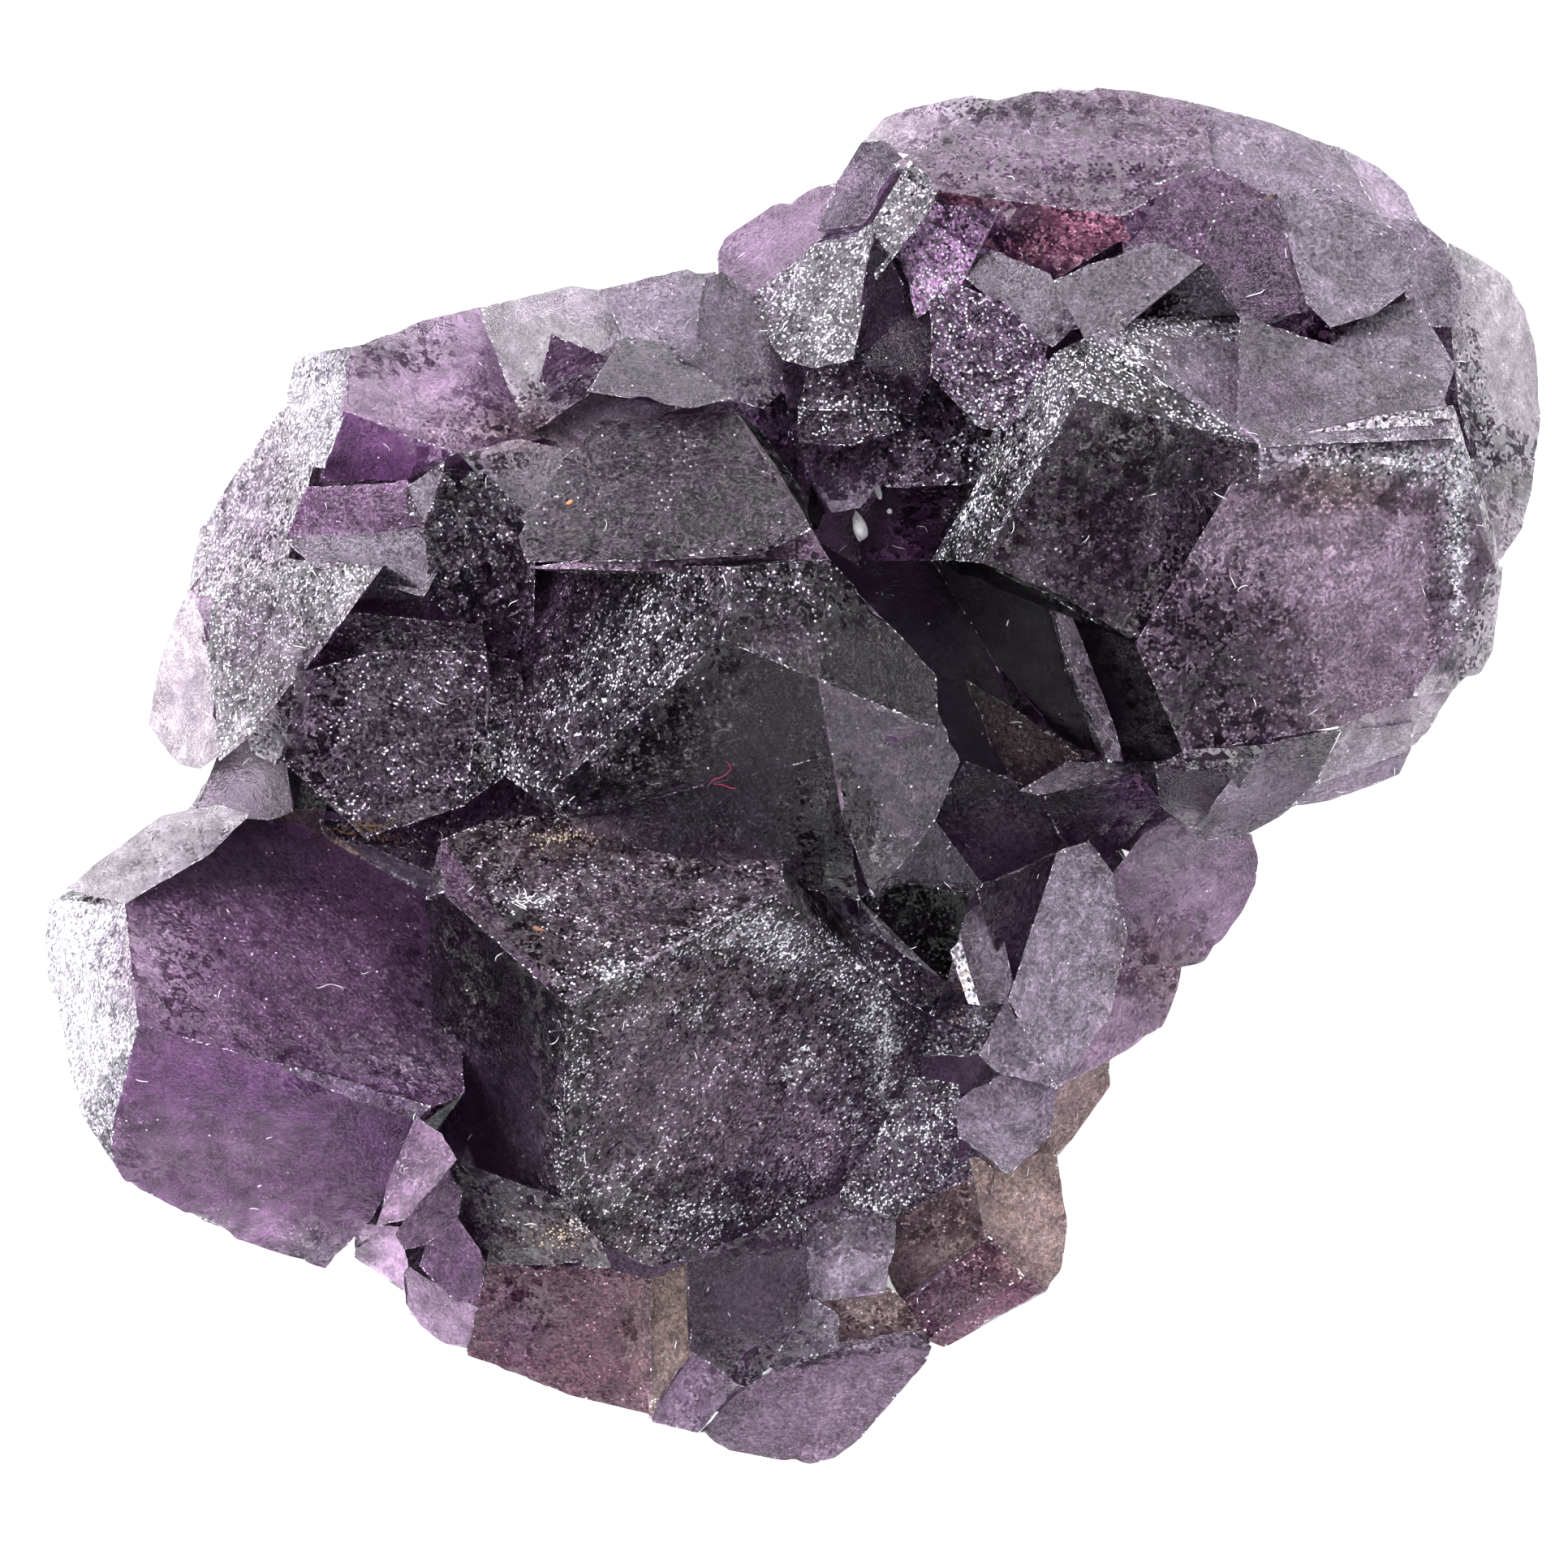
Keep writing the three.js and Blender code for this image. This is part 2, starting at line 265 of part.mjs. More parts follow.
// lower right blades and the crystals under them
grow([1220, 1000, -20], [[[0.1, 0.50, 0.86], [1150, 1012, 1190, 938, 1272, 973, 1308, 1032, 1295, 1062, 1202, 1100]]]);
grow([1215, 1095, 0], [[[0.4, 0.3, 0.87], [1202, 1095, 1302, 1050, 1262, 1200, 1250, 1232, 1232, 1152]]]);
grow([1310, 1050, 10], [[[-0.05, 0.10, 0.99], [1302, 1052, 1342, 1033, 1372, 1080, 1388, 1152, 1367, 1252, 1302, 1342, 1242, 1232, 1262, 1190]]]);
grow([1400, 1050, -50], [[[0.35, 0.25, 0.90], [1370, 1080, 1410, 1028, 1442, 1008, 1482, 1038, 1542, 1028, 1550, 1060, 1546, 1090, 1530, 1122, 1510, 1150, 1486, 1183, 1460, 1190, 1384, 1190]]]);
grow([1400, 1200, -95], [[[0.42, 0.22, 0.88], [1386, 1140, 1456, 1188, 1450, 1220, 1432, 1265, 1406, 1285, 1370, 1300, 1300, 1342, 1367, 1252]]]);
grow([1180, 1140, -30], [[[-0.5, -0.2, 0.84], [1163, 1150, 1182, 1138, 1207, 1237, 1192, 1235]]]);
grow([1210, 1110, -25], [[[0.1, 0.1, 0.99], [1178, 1140, 1222, 1098, 1235, 1150, 1252, 1232, 1204, 1242]]]);
grow([1190, 1250, -140], [[[-0.15, -0.35, 0.92], [1132, 1260, 1180, 1240, 1220, 1240, 1250, 1232, 1245, 1280, 1192, 1302, 1140, 1302]]]);
grow([1180, 1310, -210], [[[0, 0.3, 0.95], [1130, 1300, 1202, 1278, 1218, 1310, 1190, 1352, 1126, 1330]]]);
grow([1270, 1280, -90], [[[0.1, 0.35, 0.93], [1240, 1232, 1302, 1340, 1232, 1322, 1205, 1300, 1245, 1280]]]);
grow([1240, 1370, -150], [[[-0.10, -0.20, 0.97], [1178, 1360, 1232, 1318, 1302, 1338, 1296, 1402, 1242, 1447, 1183, 1402]]]);
grow([1330, 1340, -190], [[[0.35, 0.35, 0.87], [1298, 1332, 1368, 1298, 1367, 1340, 1340, 1375, 1304, 1428, 1268, 1425]]]);
grow([1260, 1480, -190], [[[0.25, 0.30, 0.92], [1196, 1428, 1302, 1423, 1302, 1470, 1314, 1510, 1308, 1562, 1290, 1592, 1218, 1532]]]);
grow([1190, 1490, -190], [[[-0.15, 0.45, 0.88], [1102, 1500, 1165, 1478, 1200, 1425, 1222, 1440, 1222, 1522, 1108, 1602, 1090, 1560]]]);
grow([1200, 1600, -225], [[[0.1, 0.60, 0.79], [1138, 1648, 1262, 1572, 1292, 1590, 1240, 1616, 1190, 1646, 1165, 1661]]]);
grow([1170, 1580, -205], [[[-0.2, 0.2, 0.96], [1100, 1610, 1220, 1522, 1232, 1560, 1260, 1575, 1140, 1652, 1108, 1632]]]);
// the bottom
grow([750, 1570, -80], [[[-0.15, 0.55, 0.82], [588, 1600, 600, 1555, 750, 1565, 802, 1578, 802, 1742, 780, 1738, 700, 1717, 640, 1692, 577, 1670]]]);
grow([820, 1600, -120], [[[0.2, 0.4, 0.89], [798, 1578, 852, 1555, 855, 1662, 830, 1700, 800, 1748]]]);
grow([900, 1560, -120], [[[0.25, 0.35, 0.90], [848, 1560, 895, 1542, 962, 1498, 992, 1498, 997, 1602, 930, 1602, 952, 1680, 920, 1712, 850, 1662]]]);
grow([1010, 1520, -160], [[[0.1, 0.30, 0.95], [962, 1500, 1040, 1485, 1102, 1500, 1102, 1532, 1090, 1592, 1000, 1605, 990, 1545]]]);
grow([1050, 1600, -200], [[[0, 0.45, 0.89], [985, 1600, 1095, 1588, 1112, 1602, 1145, 1655, 1060, 1668, 1025, 1662]]]);
grow([980, 1640, -190], [[[0.1, 0.4, 0.91], [925, 1602, 1002, 1602, 1032, 1620, 1032, 1662, 960, 1692, 945, 1680]]]);
grow([860, 1690, -180], [[[-0.1, 0.35, 0.93], [820, 1680, 862, 1662, 902, 1700, 897, 1727, 860, 1765, 830, 1752, 805, 1752, 800, 1740]]]);
grow([1010, 1700, -235], [[[0.05, 0.45, 0.89], [905, 1722, 980, 1668, 1122, 1640, 1147, 1660, 1140, 1680, 1120, 1700, 1090, 1720, 1060, 1770, 1030, 1795, 1000, 1803, 970, 1800, 900, 1787, 860, 1765]]]);

// ---- crystals on the flanks: middle [u, v, z], sides in mm, turn about X, Y, Z
const flank = [
  [1381, 259, -206, 4.4, 4.3, 4.1, -0.93, -0.88, -1.67],
  [1507, 295, -332, 5.5, 4.6, 5.3, -1.46, 0.08, -2.50],
  [371, 741, -156, 5.0, 5.3, 4.6, 2.34, -1.19, 1.31],
  [1683, 749, -142, 7.5, 8.6, 7.7, -0.95, -1.18, -1.52],
  [1449, 303, -60, 2.9, 2.5, 2.6, -1.23, -0.28, -2.52],
  [633, 531, -264, 3.0, 2.9, 2.4, 0.11, -1.11, -0.34],
  [1539, 221, -141, 3.4, 3.7, 2.9, -1.84, -0.03, -2.28],
  [395, 887, -135, 3.5, 3.6, 2.9, 0.33, 1.04, 2.41],
  [1747, 605, -188, 4.7, 3.8, 4.1, -1.10, -0.20, -2.40],
  [1213, 301, -210, 4.4, 4.7, 5.3, 0.68, 1.23, 1.65],
  [237, 1199, -313, 6.0, 6.3, 6.4, -0.91, 1.36, -2.81],
  [1631, 389, -292, 4.0, 4.0, 4.8, 0.83, 0.58, 0.84],
  [1445, 847, -282, 5.4, 5.6, 4.9, 0.31, 1.08, 1.93],
  [403, 867, -312, 4.8, 5.8, 4.7, 2.56, -1.31, 1.62],
  [1317, 1027, -267, 4.3, 4.1, 4.1, 0.99, -0.15, 1.11],
  [1589, 455, -50, 4.2, 4.2, 4.6, -1.70, -1.38, -2.62],
  [701, 481, -189, 5.3, 5.4, 5.3, -2.95, -1.28, 2.30],
  [1555, 285, -111, 2.8, 3.4, 2.9, 1.03, -0.26, 0.73],
  [1515, 883, -130, 4.2, 4.8, 5.0, 1.32, -0.21, 0.49],
  [1119, 417, -189, 4.3, 4.4, 4.9, -1.25, -0.72, -2.29],
  [591, 637, -26, 3.3, 3.5, 3.5, -2.43, 1.32, -1.46],
  [1693, 447, -177, 4.1, 3.8, 4.5, -2.08, 0.49, -2.30],
  [1787, 751, -22, 2.2, 2.8, 2.3, 1.05, 0.78, 1.90],
  [787, 507, -323, 5.7, 5.7, 5.5, 1.23, -0.34, 1.21],
  [1627, 769, -273, 3.3, 3.1, 3.4, 1.39, 1.06, 0.55],
  [877, 495, -104, 6.1, 4.9, 5.9, 1.16, 0.56, 0.61],
  [1133, 395, -35, 5.1, 4.9, 4.7, 1.17, 0.95, 1.64],
  [1373, 1187, -328, 4.4, 4.3, 4.3, 0.71, -0.50, -0.24],
  [1259, 315, -306, 2.5, 2.9, 2.7, 2.48, 1.47, -0.28],
  [983, 373, -125, 3.7, 3.5, 3.1, 1.77, -0.27, 0.65],
  [581, 479, -201, 3.7, 4.0, 3.8, 1.97, -0.12, 0.53],
  [1501, 351, -67, 2.4, 2.8, 2.7, -0.98, -0.62, -1.89],
  [509, 505, -249, 3.7, 3.1, 3.9, 2.35, 0.98, -0.15],
  [1435, 385, -108, 3.8, 4.7, 4.0, -1.29, 0.26, -2.24],
  [383, 1029, -336, 4.2, 4.1, 3.7, 0.21, -0.99, -0.55],
  [453, 591, -253, 3.2, 3.5, 3.0, -1.51, 0.14, -2.27],
  [1615, 339, -85, 2.5, 2.7, 2.6, -2.16, 1.48, -1.28],
  [389, 1411, -297, 5.5, 5.2, 4.7, -0.56, 1.03, 2.79],
  [573, 1449, -124, 4.7, 5.4, 5.5, -2.05, 0.27, -2.37],
  [1779, 557, -97, 3.9, 3.6, 3.3, -2.52, -1.03, 2.55],
  [1447, 189, -126, 3.5, 3.2, 3.5, -2.55, -1.06, 2.57],
  [1813, 573, -254, 2.6, 2.9, 2.5, 0.63, -0.80, -0.55],
  [213, 1197, -140, 3.9, 4.0, 3.6, -1.46, 0.14, -1.85],
  [197, 1359, -120, 3.3, 3.5, 3.3, -0.03, 1.00, 2.23],
  [1595, 305, -244, 2.7, 2.6, 2.9, 1.64, -0.35, 0.58],
  [473, 669, -327, 5.7, 5.0, 5.0, -1.73, -1.05, -2.65],
  [1627, 269, -125, 3.6, 3.4, 3.6, -0.62, 0.81, 3.06],
  [263, 1429, -180, 3.1, 3.1, 3.4, -1.60, 0.34, -2.89],
  [1685, 525, -298, 3.4, 3.8, 4.4, 2.17, 1.11, -0.34],
  [699, 591, -53, 2.5, 2.8, 2.6, -1.70, 0.05, -2.34],
  [133, 1169, -91, 3.1, 2.9, 3.0, 1.68, 0.10, 0.57],
  [321, 819, -167, 3.1, 3.9, 3.7, 2.54, 1.25, -0.39],
  [1247, 1241, -336, 3.3, 3.3, 3.3, -1.63, 0.33, -2.74],
  [1315, 365, -36, 5.7, 4.9, 5.4, -2.12, -1.03, 3.03],
  [643, 1507, -239, 5.3, 4.6, 4.4, 1.30, -0.04, 1.02],
  [403, 779, -299, 3.0, 2.7, 2.5, -1.43, -1.46, -2.57],
  [1025, 397, -16, 2.6, 2.8, 2.4, 1.70, -0.19, 0.62],
  [1281, 1269, -175, 2.5, 2.8, 2.4, -2.28, -1.13, -2.97],
  [1285, 201, -202, 4.6, 4.1, 4.7, 1.93, 0.02, 0.46],
  [1511, 411, -25, 3.1, 3.6, 3.2, -2.51, -1.20, 3.11],
  [1585, 311, 10, 3.2, 3.8, 3.7, -0.97, -0.42, -2.33],
  [1665, 395, -102, 3.7, 3.6, 3.3, -0.87, 0.30, -2.41],
  [1657, 551, -89, 2.7, 3.1, 2.7, -1.04, -0.14, -2.18],
  [389, 1485, -178, 3.2, 3.5, 3.2, -1.07, 0.13, -2.26],
];
for (const [u, v, z, a, b, c, rx, ry, rz] of flank) {
  const turn = new THREE.Euler(rx, ry, rz);
  const middle = spot(u, v, z);
  join(solidOf([-0.5, 0.5].flatMap((i) => [-0.5, 0.5].flatMap((j) => [-0.5, 0.5].map((k) =>
    new THREE.Vector3(i * a, j * b, k * c).applyEuler(turn).add(middle))))));
}

// ---- trim and place -----------------------------------------------------
const slab = (z0, z1) => solidOf([-1, 1].flatMap((x) => [-1, 1].flatMap((y) => [z0, z1].map((z) => new THREE.Vector3(x * 60, y * 60, z)))));
const cut = BACK * RELIEF * UNIT;
cluster = cluster.subtract(slab(cut - 40, cut));

const raw = cluster.getMesh();
// small hollows shut in between crystals are filled: only the outer skin stays
const owner = Int32Array.from({ length: raw.numVert }, (_, i) => i);
const find = (i) => { while (owner[i] !== i) i = owner[i] = owner[owner[i]]; return i; };
for (let i = 0; i < raw.triVerts.length; i += 3) {
  owner[find(raw.triVerts[i])] = find(raw.triVerts[i + 1]);
  owner[find(raw.triVerts[i + 1])] = find(raw.triVerts[i + 2]);
}
const share = new Map();
for (let i = 0; i < raw.triVerts.length; i += 3) share.set(find(raw.triVerts[i]), (share.get(find(raw.triVerts[i])) || 0) + 1);
const outer = [...share].sort((a, b) => b[1] - a[1])[0][0];
const skin = [];
for (let i = 0; i < raw.triVerts.length; i += 3)
  if (find(raw.triVerts[i]) === outer) skin.push(raw.triVerts[i], raw.triVerts[i + 1], raw.triVerts[i + 2]);

const xyz = new Float32Array(raw.numVert * 3);
for (let i = 0; i < raw.numVert; i++) for (let k = 0; k < 3; k++) xyz[3 * i + k] = raw.vertProperties[i * raw.numProp + k];

// edges too short to matter are drawn together to one of their ends, where
// the skin stays closed and no facet turns over
const corners = Array.from({ length: raw.numVert }, (_, i) => new THREE.Vector3().fromArray(xyz, 3 * i));
let facets = [];
for (let i = 0; i < skin.length; i += 3) facets.push([skin[i], skin[i + 1], skin[i + 2]]);
const around = corners.map(() => new Set());
facets.forEach((f, i) => f.forEach((v) => around[v].add(i)));
const normalOf = (a, b, c) => new THREE.Vector3().subVectors(b, a).cross(new THREE.Vector3().subVectors(c, a));
const beside = (v) => new Set([...around[v]].flatMap((i) => facets[i]).filter((w) => w !== v));
function drawTogether(gone, kept) {
  const near = beside(kept);
  if ([...beside(gone)].filter((v) => near.has(v)).length !== 2) return false;
  const moved = [...around[gone]].filter((i) => !facets[i].includes(kept));
  for (const i of moved) {
    const before = normalOf(...facets[i].map((v) => corners[v]));
    const after = normalOf(...facets[i].map((v) => corners[v === gone ? kept : v]));
    const big = before.length() / 2 > 0.004;
    if (after.length() / 2 < 1e-4 || (big && before.angleTo(after) > 0.14) || (!big && before.angleTo(after) > 1.2)) return false;
  }
  for (const i of [...around[gone]]) {
    for (const v of facets[i]) around[v].delete(i);
    if (facets[i].includes(kept)) { facets[i] = null; continue; }
    facets[i] = facets[i].map((v) => (v === gone ? kept : v));
    for (const v of facets[i]) around[v].add(i);
  }
  return true;
}
for (let pass = 0; pass < 6; pass++) {
  const short = [];
  for (const f of facets) if (f) for (let k = 0; k < 3; k++) {
    const a = f[k], b = f[(k + 1) % 3];
    if (a < b) { const d = corners[a].distanceTo(corners[b]); if (d < TIDY) short.push([d, a, b]); }
  }
  short.sort((p, q) => p[0] - q[0]);
  let done = 0;
  for (const [, a, b] of short) {
    if (!around[a].size || !around[b].size || !beside(a).has(b)) continue;
    if (drawTogether(a, b) || drawTogether(b, a)) done++;
  }
  if (!done) break;
}
facets = facets.filter((f) => f);

const geometry = new THREE.BufferGeometry();
const used = [...new Set(facets.flat())];
const number = new Map(used.map((v, i) => [v, i]));
geometry.setAttribute('position', new THREE.Float32BufferAttribute(used.flatMap((v) => corners[v].toArray()), 3));
geometry.setIndex(facets.flat().map((v) => number.get(v)));
geometry.computeBoundingBox();
const box = geometry.boundingBox;
const foot = new THREE.Vector3((box.min.x + box.max.x) / 2, (box.min.y + box.max.y) / 2, box.min.z);
geometry.translate(-foot.x, -foot.y, -foot.z);
geometry.computeVertexNormals();

const fluorite = new THREE.MeshStandardMaterial({ color: 0x4a4152, roughness: 0.45, metalness: 0 });
const mesh = new THREE.Mesh(geometry, fluorite);
mesh.name = 'fluorite_cluster';
mesh.userData = { foot: foot.toArray() };

const part = new THREE.Group();
part.add(mesh);
export default part;
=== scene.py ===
"""Fluorite crystal cluster, lying on its flat back on a pale table and seen from straight above."""
import math
import bpy
import numpy as np
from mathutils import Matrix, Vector
from mathutils.bvhtree import BVHTree
from mathutils.geometry import delaunay_2d_cdt


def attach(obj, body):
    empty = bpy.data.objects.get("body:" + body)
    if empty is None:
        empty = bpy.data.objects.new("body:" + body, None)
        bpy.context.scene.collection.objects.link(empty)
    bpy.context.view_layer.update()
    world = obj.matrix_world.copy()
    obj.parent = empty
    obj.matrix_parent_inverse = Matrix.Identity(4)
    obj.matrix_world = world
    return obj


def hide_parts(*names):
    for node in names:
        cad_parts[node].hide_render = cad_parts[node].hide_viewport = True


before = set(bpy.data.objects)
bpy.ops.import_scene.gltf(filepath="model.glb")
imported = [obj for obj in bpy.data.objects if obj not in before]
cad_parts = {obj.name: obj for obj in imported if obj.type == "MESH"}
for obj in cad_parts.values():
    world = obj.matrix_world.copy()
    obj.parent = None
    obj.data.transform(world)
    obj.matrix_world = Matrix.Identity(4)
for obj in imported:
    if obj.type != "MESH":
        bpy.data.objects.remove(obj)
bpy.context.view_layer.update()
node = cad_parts["fluorite_cluster"]

# The drawing sheet that the part is laid out on: 1932 units square, 0.04 mm each, seen from 300 mm above.
UNIT, CENTRE, HEIGHT, RELIEF = 0.04, 966.0, 300.0, 0.85
FOOT = np.array([0.4157, 0.0154, -13.6])


def seen(u, v, z):
    """Point at sheet place (u, v), z sheet units above its middle, in millimetres of the part."""
    z = z * RELIEF * UNIT
    k = (HEIGHT - z) / HEIGHT
    return np.array([(u - CENTRE) * UNIT * k, (CENTRE - v) * UNIT * k, z]) - FOOT


EYE = np.array([0.0, 0.0, HEIGHT]) - FOOT


# ---- noise -----------------------------------------------------------------
def hashed(ix, iy, iz, salt):
    h = (ix.astype(np.int64) * 374761393 + iy.astype(np.int64) * 668265263 + iz.astype(np.int64) * 2147483647 + salt * 974634777) & 0xFFFFFFFF
    h = ((h ^ (h >> 13)) * 1274126177) & 0xFFFFFFFF
    h = h ^ (h >> 16)
    return (h & 0xFFFFFF).astype(float) / 0xFFFFFF


def noise(p, salt=0):
    """Smooth value noise in -1..1 at the rows of p."""
    i = np.floor(p).astype(np.int64)
    f = p - i
    f = f * f * (3 - 2 * f)
    out = 0.0
    for dx in (0, 1):
        wx = f[:, 0] if dx else 1 - f[:, 0]
        for dy in (0, 1):
            wy = f[:, 1] if dy else 1 - f[:, 1]
            for dz in (0, 1):
                wz = f[:, 2] if dz else 1 - f[:, 2]
                out = out + wx * wy * wz * hashed(i[:, 0] + dx, i[:, 1] + dy, i[:, 2] + dz, salt)
    return out * 2 - 1


def fbm(p, octaves=3, salt=0):
    total, amp, norm = 0.0, 1.0, 0.0
    for o in range(octaves):
        total = total + amp * noise(p * 2 ** o, salt + o)
        norm += amp
        amp *= 0.5
    return total / norm


# ---- the solid's faces -------------------------------------------------------
mesh = node.data
verts = np.empty(len(mesh.vertices) * 3)
mesh.vertices.foreach_get("co", verts)
verts = verts.reshape(-1, 3) * 1000.0
mesh.calc_loop_triangles()
tris = np.empty(len(mesh.loop_triangles) * 3, dtype=np.int32)
mesh.loop_triangles.foreach_get("vertices", tris)
tris = tris.reshape(-1, 3)
_, first, back = np.unique(np.round(verts, 4), axis=0, return_index=True, return_inverse=True)
verts, tris = verts[first], back.reshape(-1)[tris]
tris = tris[(tris[:, 0] != tris[:, 1]) & (tris[:, 1] != tris[:, 2]) & (tris[:, 2] != tris[:, 0])]
cross = np.cross(verts[tris[:, 1]] - verts[tris[:, 0]], verts[tris[:, 2]] - verts[tris[:, 0]])
area = np.linalg.norm(cross, axis=1) / 2
normal = cross / np.maximum(2 * area, 1e-12)[:, None]

sides = {}
for t, (a, b, c) in enumerate(tris):
    for p, q in ((a, b), (b, c), (c, a)):
        sides.setdefault((min(p, q), max(p, q)), []).append(t)

group = list(range(len(tris)))


def root(a):
    while group[a] != a:
        group[a] = group[group[a]]
        a = group[a]
    return a


FLAT = math.cos(math.radians(3.0))
for pair in sides.values():
    if len(pair) == 2 and area[pair[0]] > 1e-4 and area[pair[1]] > 1e-4 and normal[pair[0]] @ normal[pair[1]] > FLAT:
        group[root(pair[0])] = root(pair[1])
faces = {}
for t in range(len(tris)):
    faces.setdefault(root(t), []).append(t)
facets, unflat = [], []
for members in faces.values():
    n = (normal[members] * area[members][:, None]).sum(0)
    n /= max(np.linalg.norm(n), 1e-12)
    if min(normal[members] @ n) > 0.97 and min(area[members]) > 2e-4 or len(members) == 1:
        facets.append((members, n))
    else:
        facets.extend(([t], normal[t]) for t in members)
facet_of = np.empty(len(tris), dtype=int)
for f, (members, n) in enumerate(facets):
    facet_of[members] = f
facet_area = np.array([area[m].sum() for m, n in facets])
facet_normal = np.array([n for m, n in facets])

# ---- looks of the faces ------------------------------------------------------
# frost: share of a face taken up by tiny etched facets that look white; relief: growth steps and pits;
# crust: how white those facets are, partly real whitening and partly painted glints; milk: how cloudy the crystal is
# just under the face, and the colour of that cloud, on rim kinds partly painted light
KINDS = {
    "dark": (.024, .50, .50, .012, (.52, .30, .60)),
    "crumb": (.46, 1.2, 1.30, .088, (.60, .42, .57)),
    "ripple": (.72, 2.0, 4.0, .075, (.54, .30, .58)),
    "speck": (.35, 1.2, 1.20, .032, (.55, .38, .59)),
    "slate": (.09, .50, .55, .118, (.56, .46, .60)),
    "frosted": (.80, 1.6, 3.8, .075, (.60, .52, .64)),
    "purple": (.09, .50, .70, .150, (.54, .27, .57)),
    "violet": (.02, .18, .30, .225, (.53, .22, .58)),
    "lilac": (.06, .30, .50, .240, (.72, .48, .74)),
    "red": (.25, .80, .80, .160, (.62, .24, .38)),
    "brown": (.24, .60, .60, .135, (.66, .46, .42)),
    # painted highlights: this kind and the next lay dense white flecks that stand in for glints of the lamps on faces
    # turned to catch them, as well as for real etching and white fibres
    "bright": (.94, 1.8, 7.0, .150, (.84, .75, .87)),
    "snow": (1.15, 1.4, 4.0, .37, (.86, .80, .93)),
    # painted light: this pale cloud stands in for light shining through thin rims
    "glow": (.06, .26, .50, .245, (.94, .85, .94)),
    "black": (.005, .20, .20, .000, (.010, .005, .012)),
    "glass": (.01, .20, .20, .004, (.030, .014, .034)),
    "dusk": (.10, .90, .90, .045, (.54, .36, .56)),
    "mauve": (.08, .60, .50, .170, (.70, .50, .70)),
    # painted shadow: this opaque near-black stands in for shade in the cleft
    "night": (.000, .20, .20, 1.0, (.012, .004, .014)),
    "deep": (.02, .20, .20, .260, (.27, .07, .34)),
    "below": (.12, .40, .50, .060, (.80, .70, .84)),
}
rng = np.random.default_rng(11)
looks = np.zeros((len(facets), 4))
cloud_and_glow = np.zeros((len(facets), 3))


def give(f, kind, wander=0.0):
    frost, relief, crust_and_glint, milk_and_glow, colour = KINDS[kind]
    looks[f] = np.clip(np.array([frost, relief, crust_and_glint, milk_and_glow]) + wander * rng.uniform(-1, 1, 4) * [1, 1, .5, .6], 0, [1.2, 1.3, 1.5, 1.2])
    looks[f, 3] = milk_and_glow * (1 + wander * rng.uniform(-1.5, 1.5))
    cloud_and_glow[f] = np.clip(np.array(colour) * (1 + wander * 0.4 * rng.uniform(-1, 1, 3)), 0, 1)


ANY = ["speck", "slate", "frosted", "purple", "lilac", "bright", "glow", "brown", "dark"]
for f in range(len(facets)):
    give(f, ANY[rng.choice(9, p=[.20, .20, .13, .16, .08, .06, .08, .04, .05])], 0.22)


def facet_at(u, v):
    """The face met first on the way from the eye through sheet place (u, v)."""
    d = seen(u, v, 0) - EYE
    a, b, c = verts[tris[:, 0]], verts[tris[:, 1]], verts[tris[:, 2]]
    e1, e2 = b - a, c - a
    h = np.cross(d, e2)
    det = (e1 * h).sum(1)
    ok = np.abs(det) > 1e-12
    inv = np.where(ok, 1 / np.where(ok, det, 1), 0)
    s = EYE - a
    x = (s * h).sum(1) * inv
    q = np.cross(s, e1)
    y = (q @ d) * inv
    t = (e2 * q).sum(1) * inv
    hit = ok & (x >= 0) & (y >= 0) & (x + y <= 1) & (t > 0)
    if not hit.any():
        return None
    t = np.where(hit, t, 1e9)
    return facet_of[int(np.argmin(t))]


for f, (members, n) in enumerate(facets):
    if n[2] < -0.6:
        give(f, "below", 0.1)
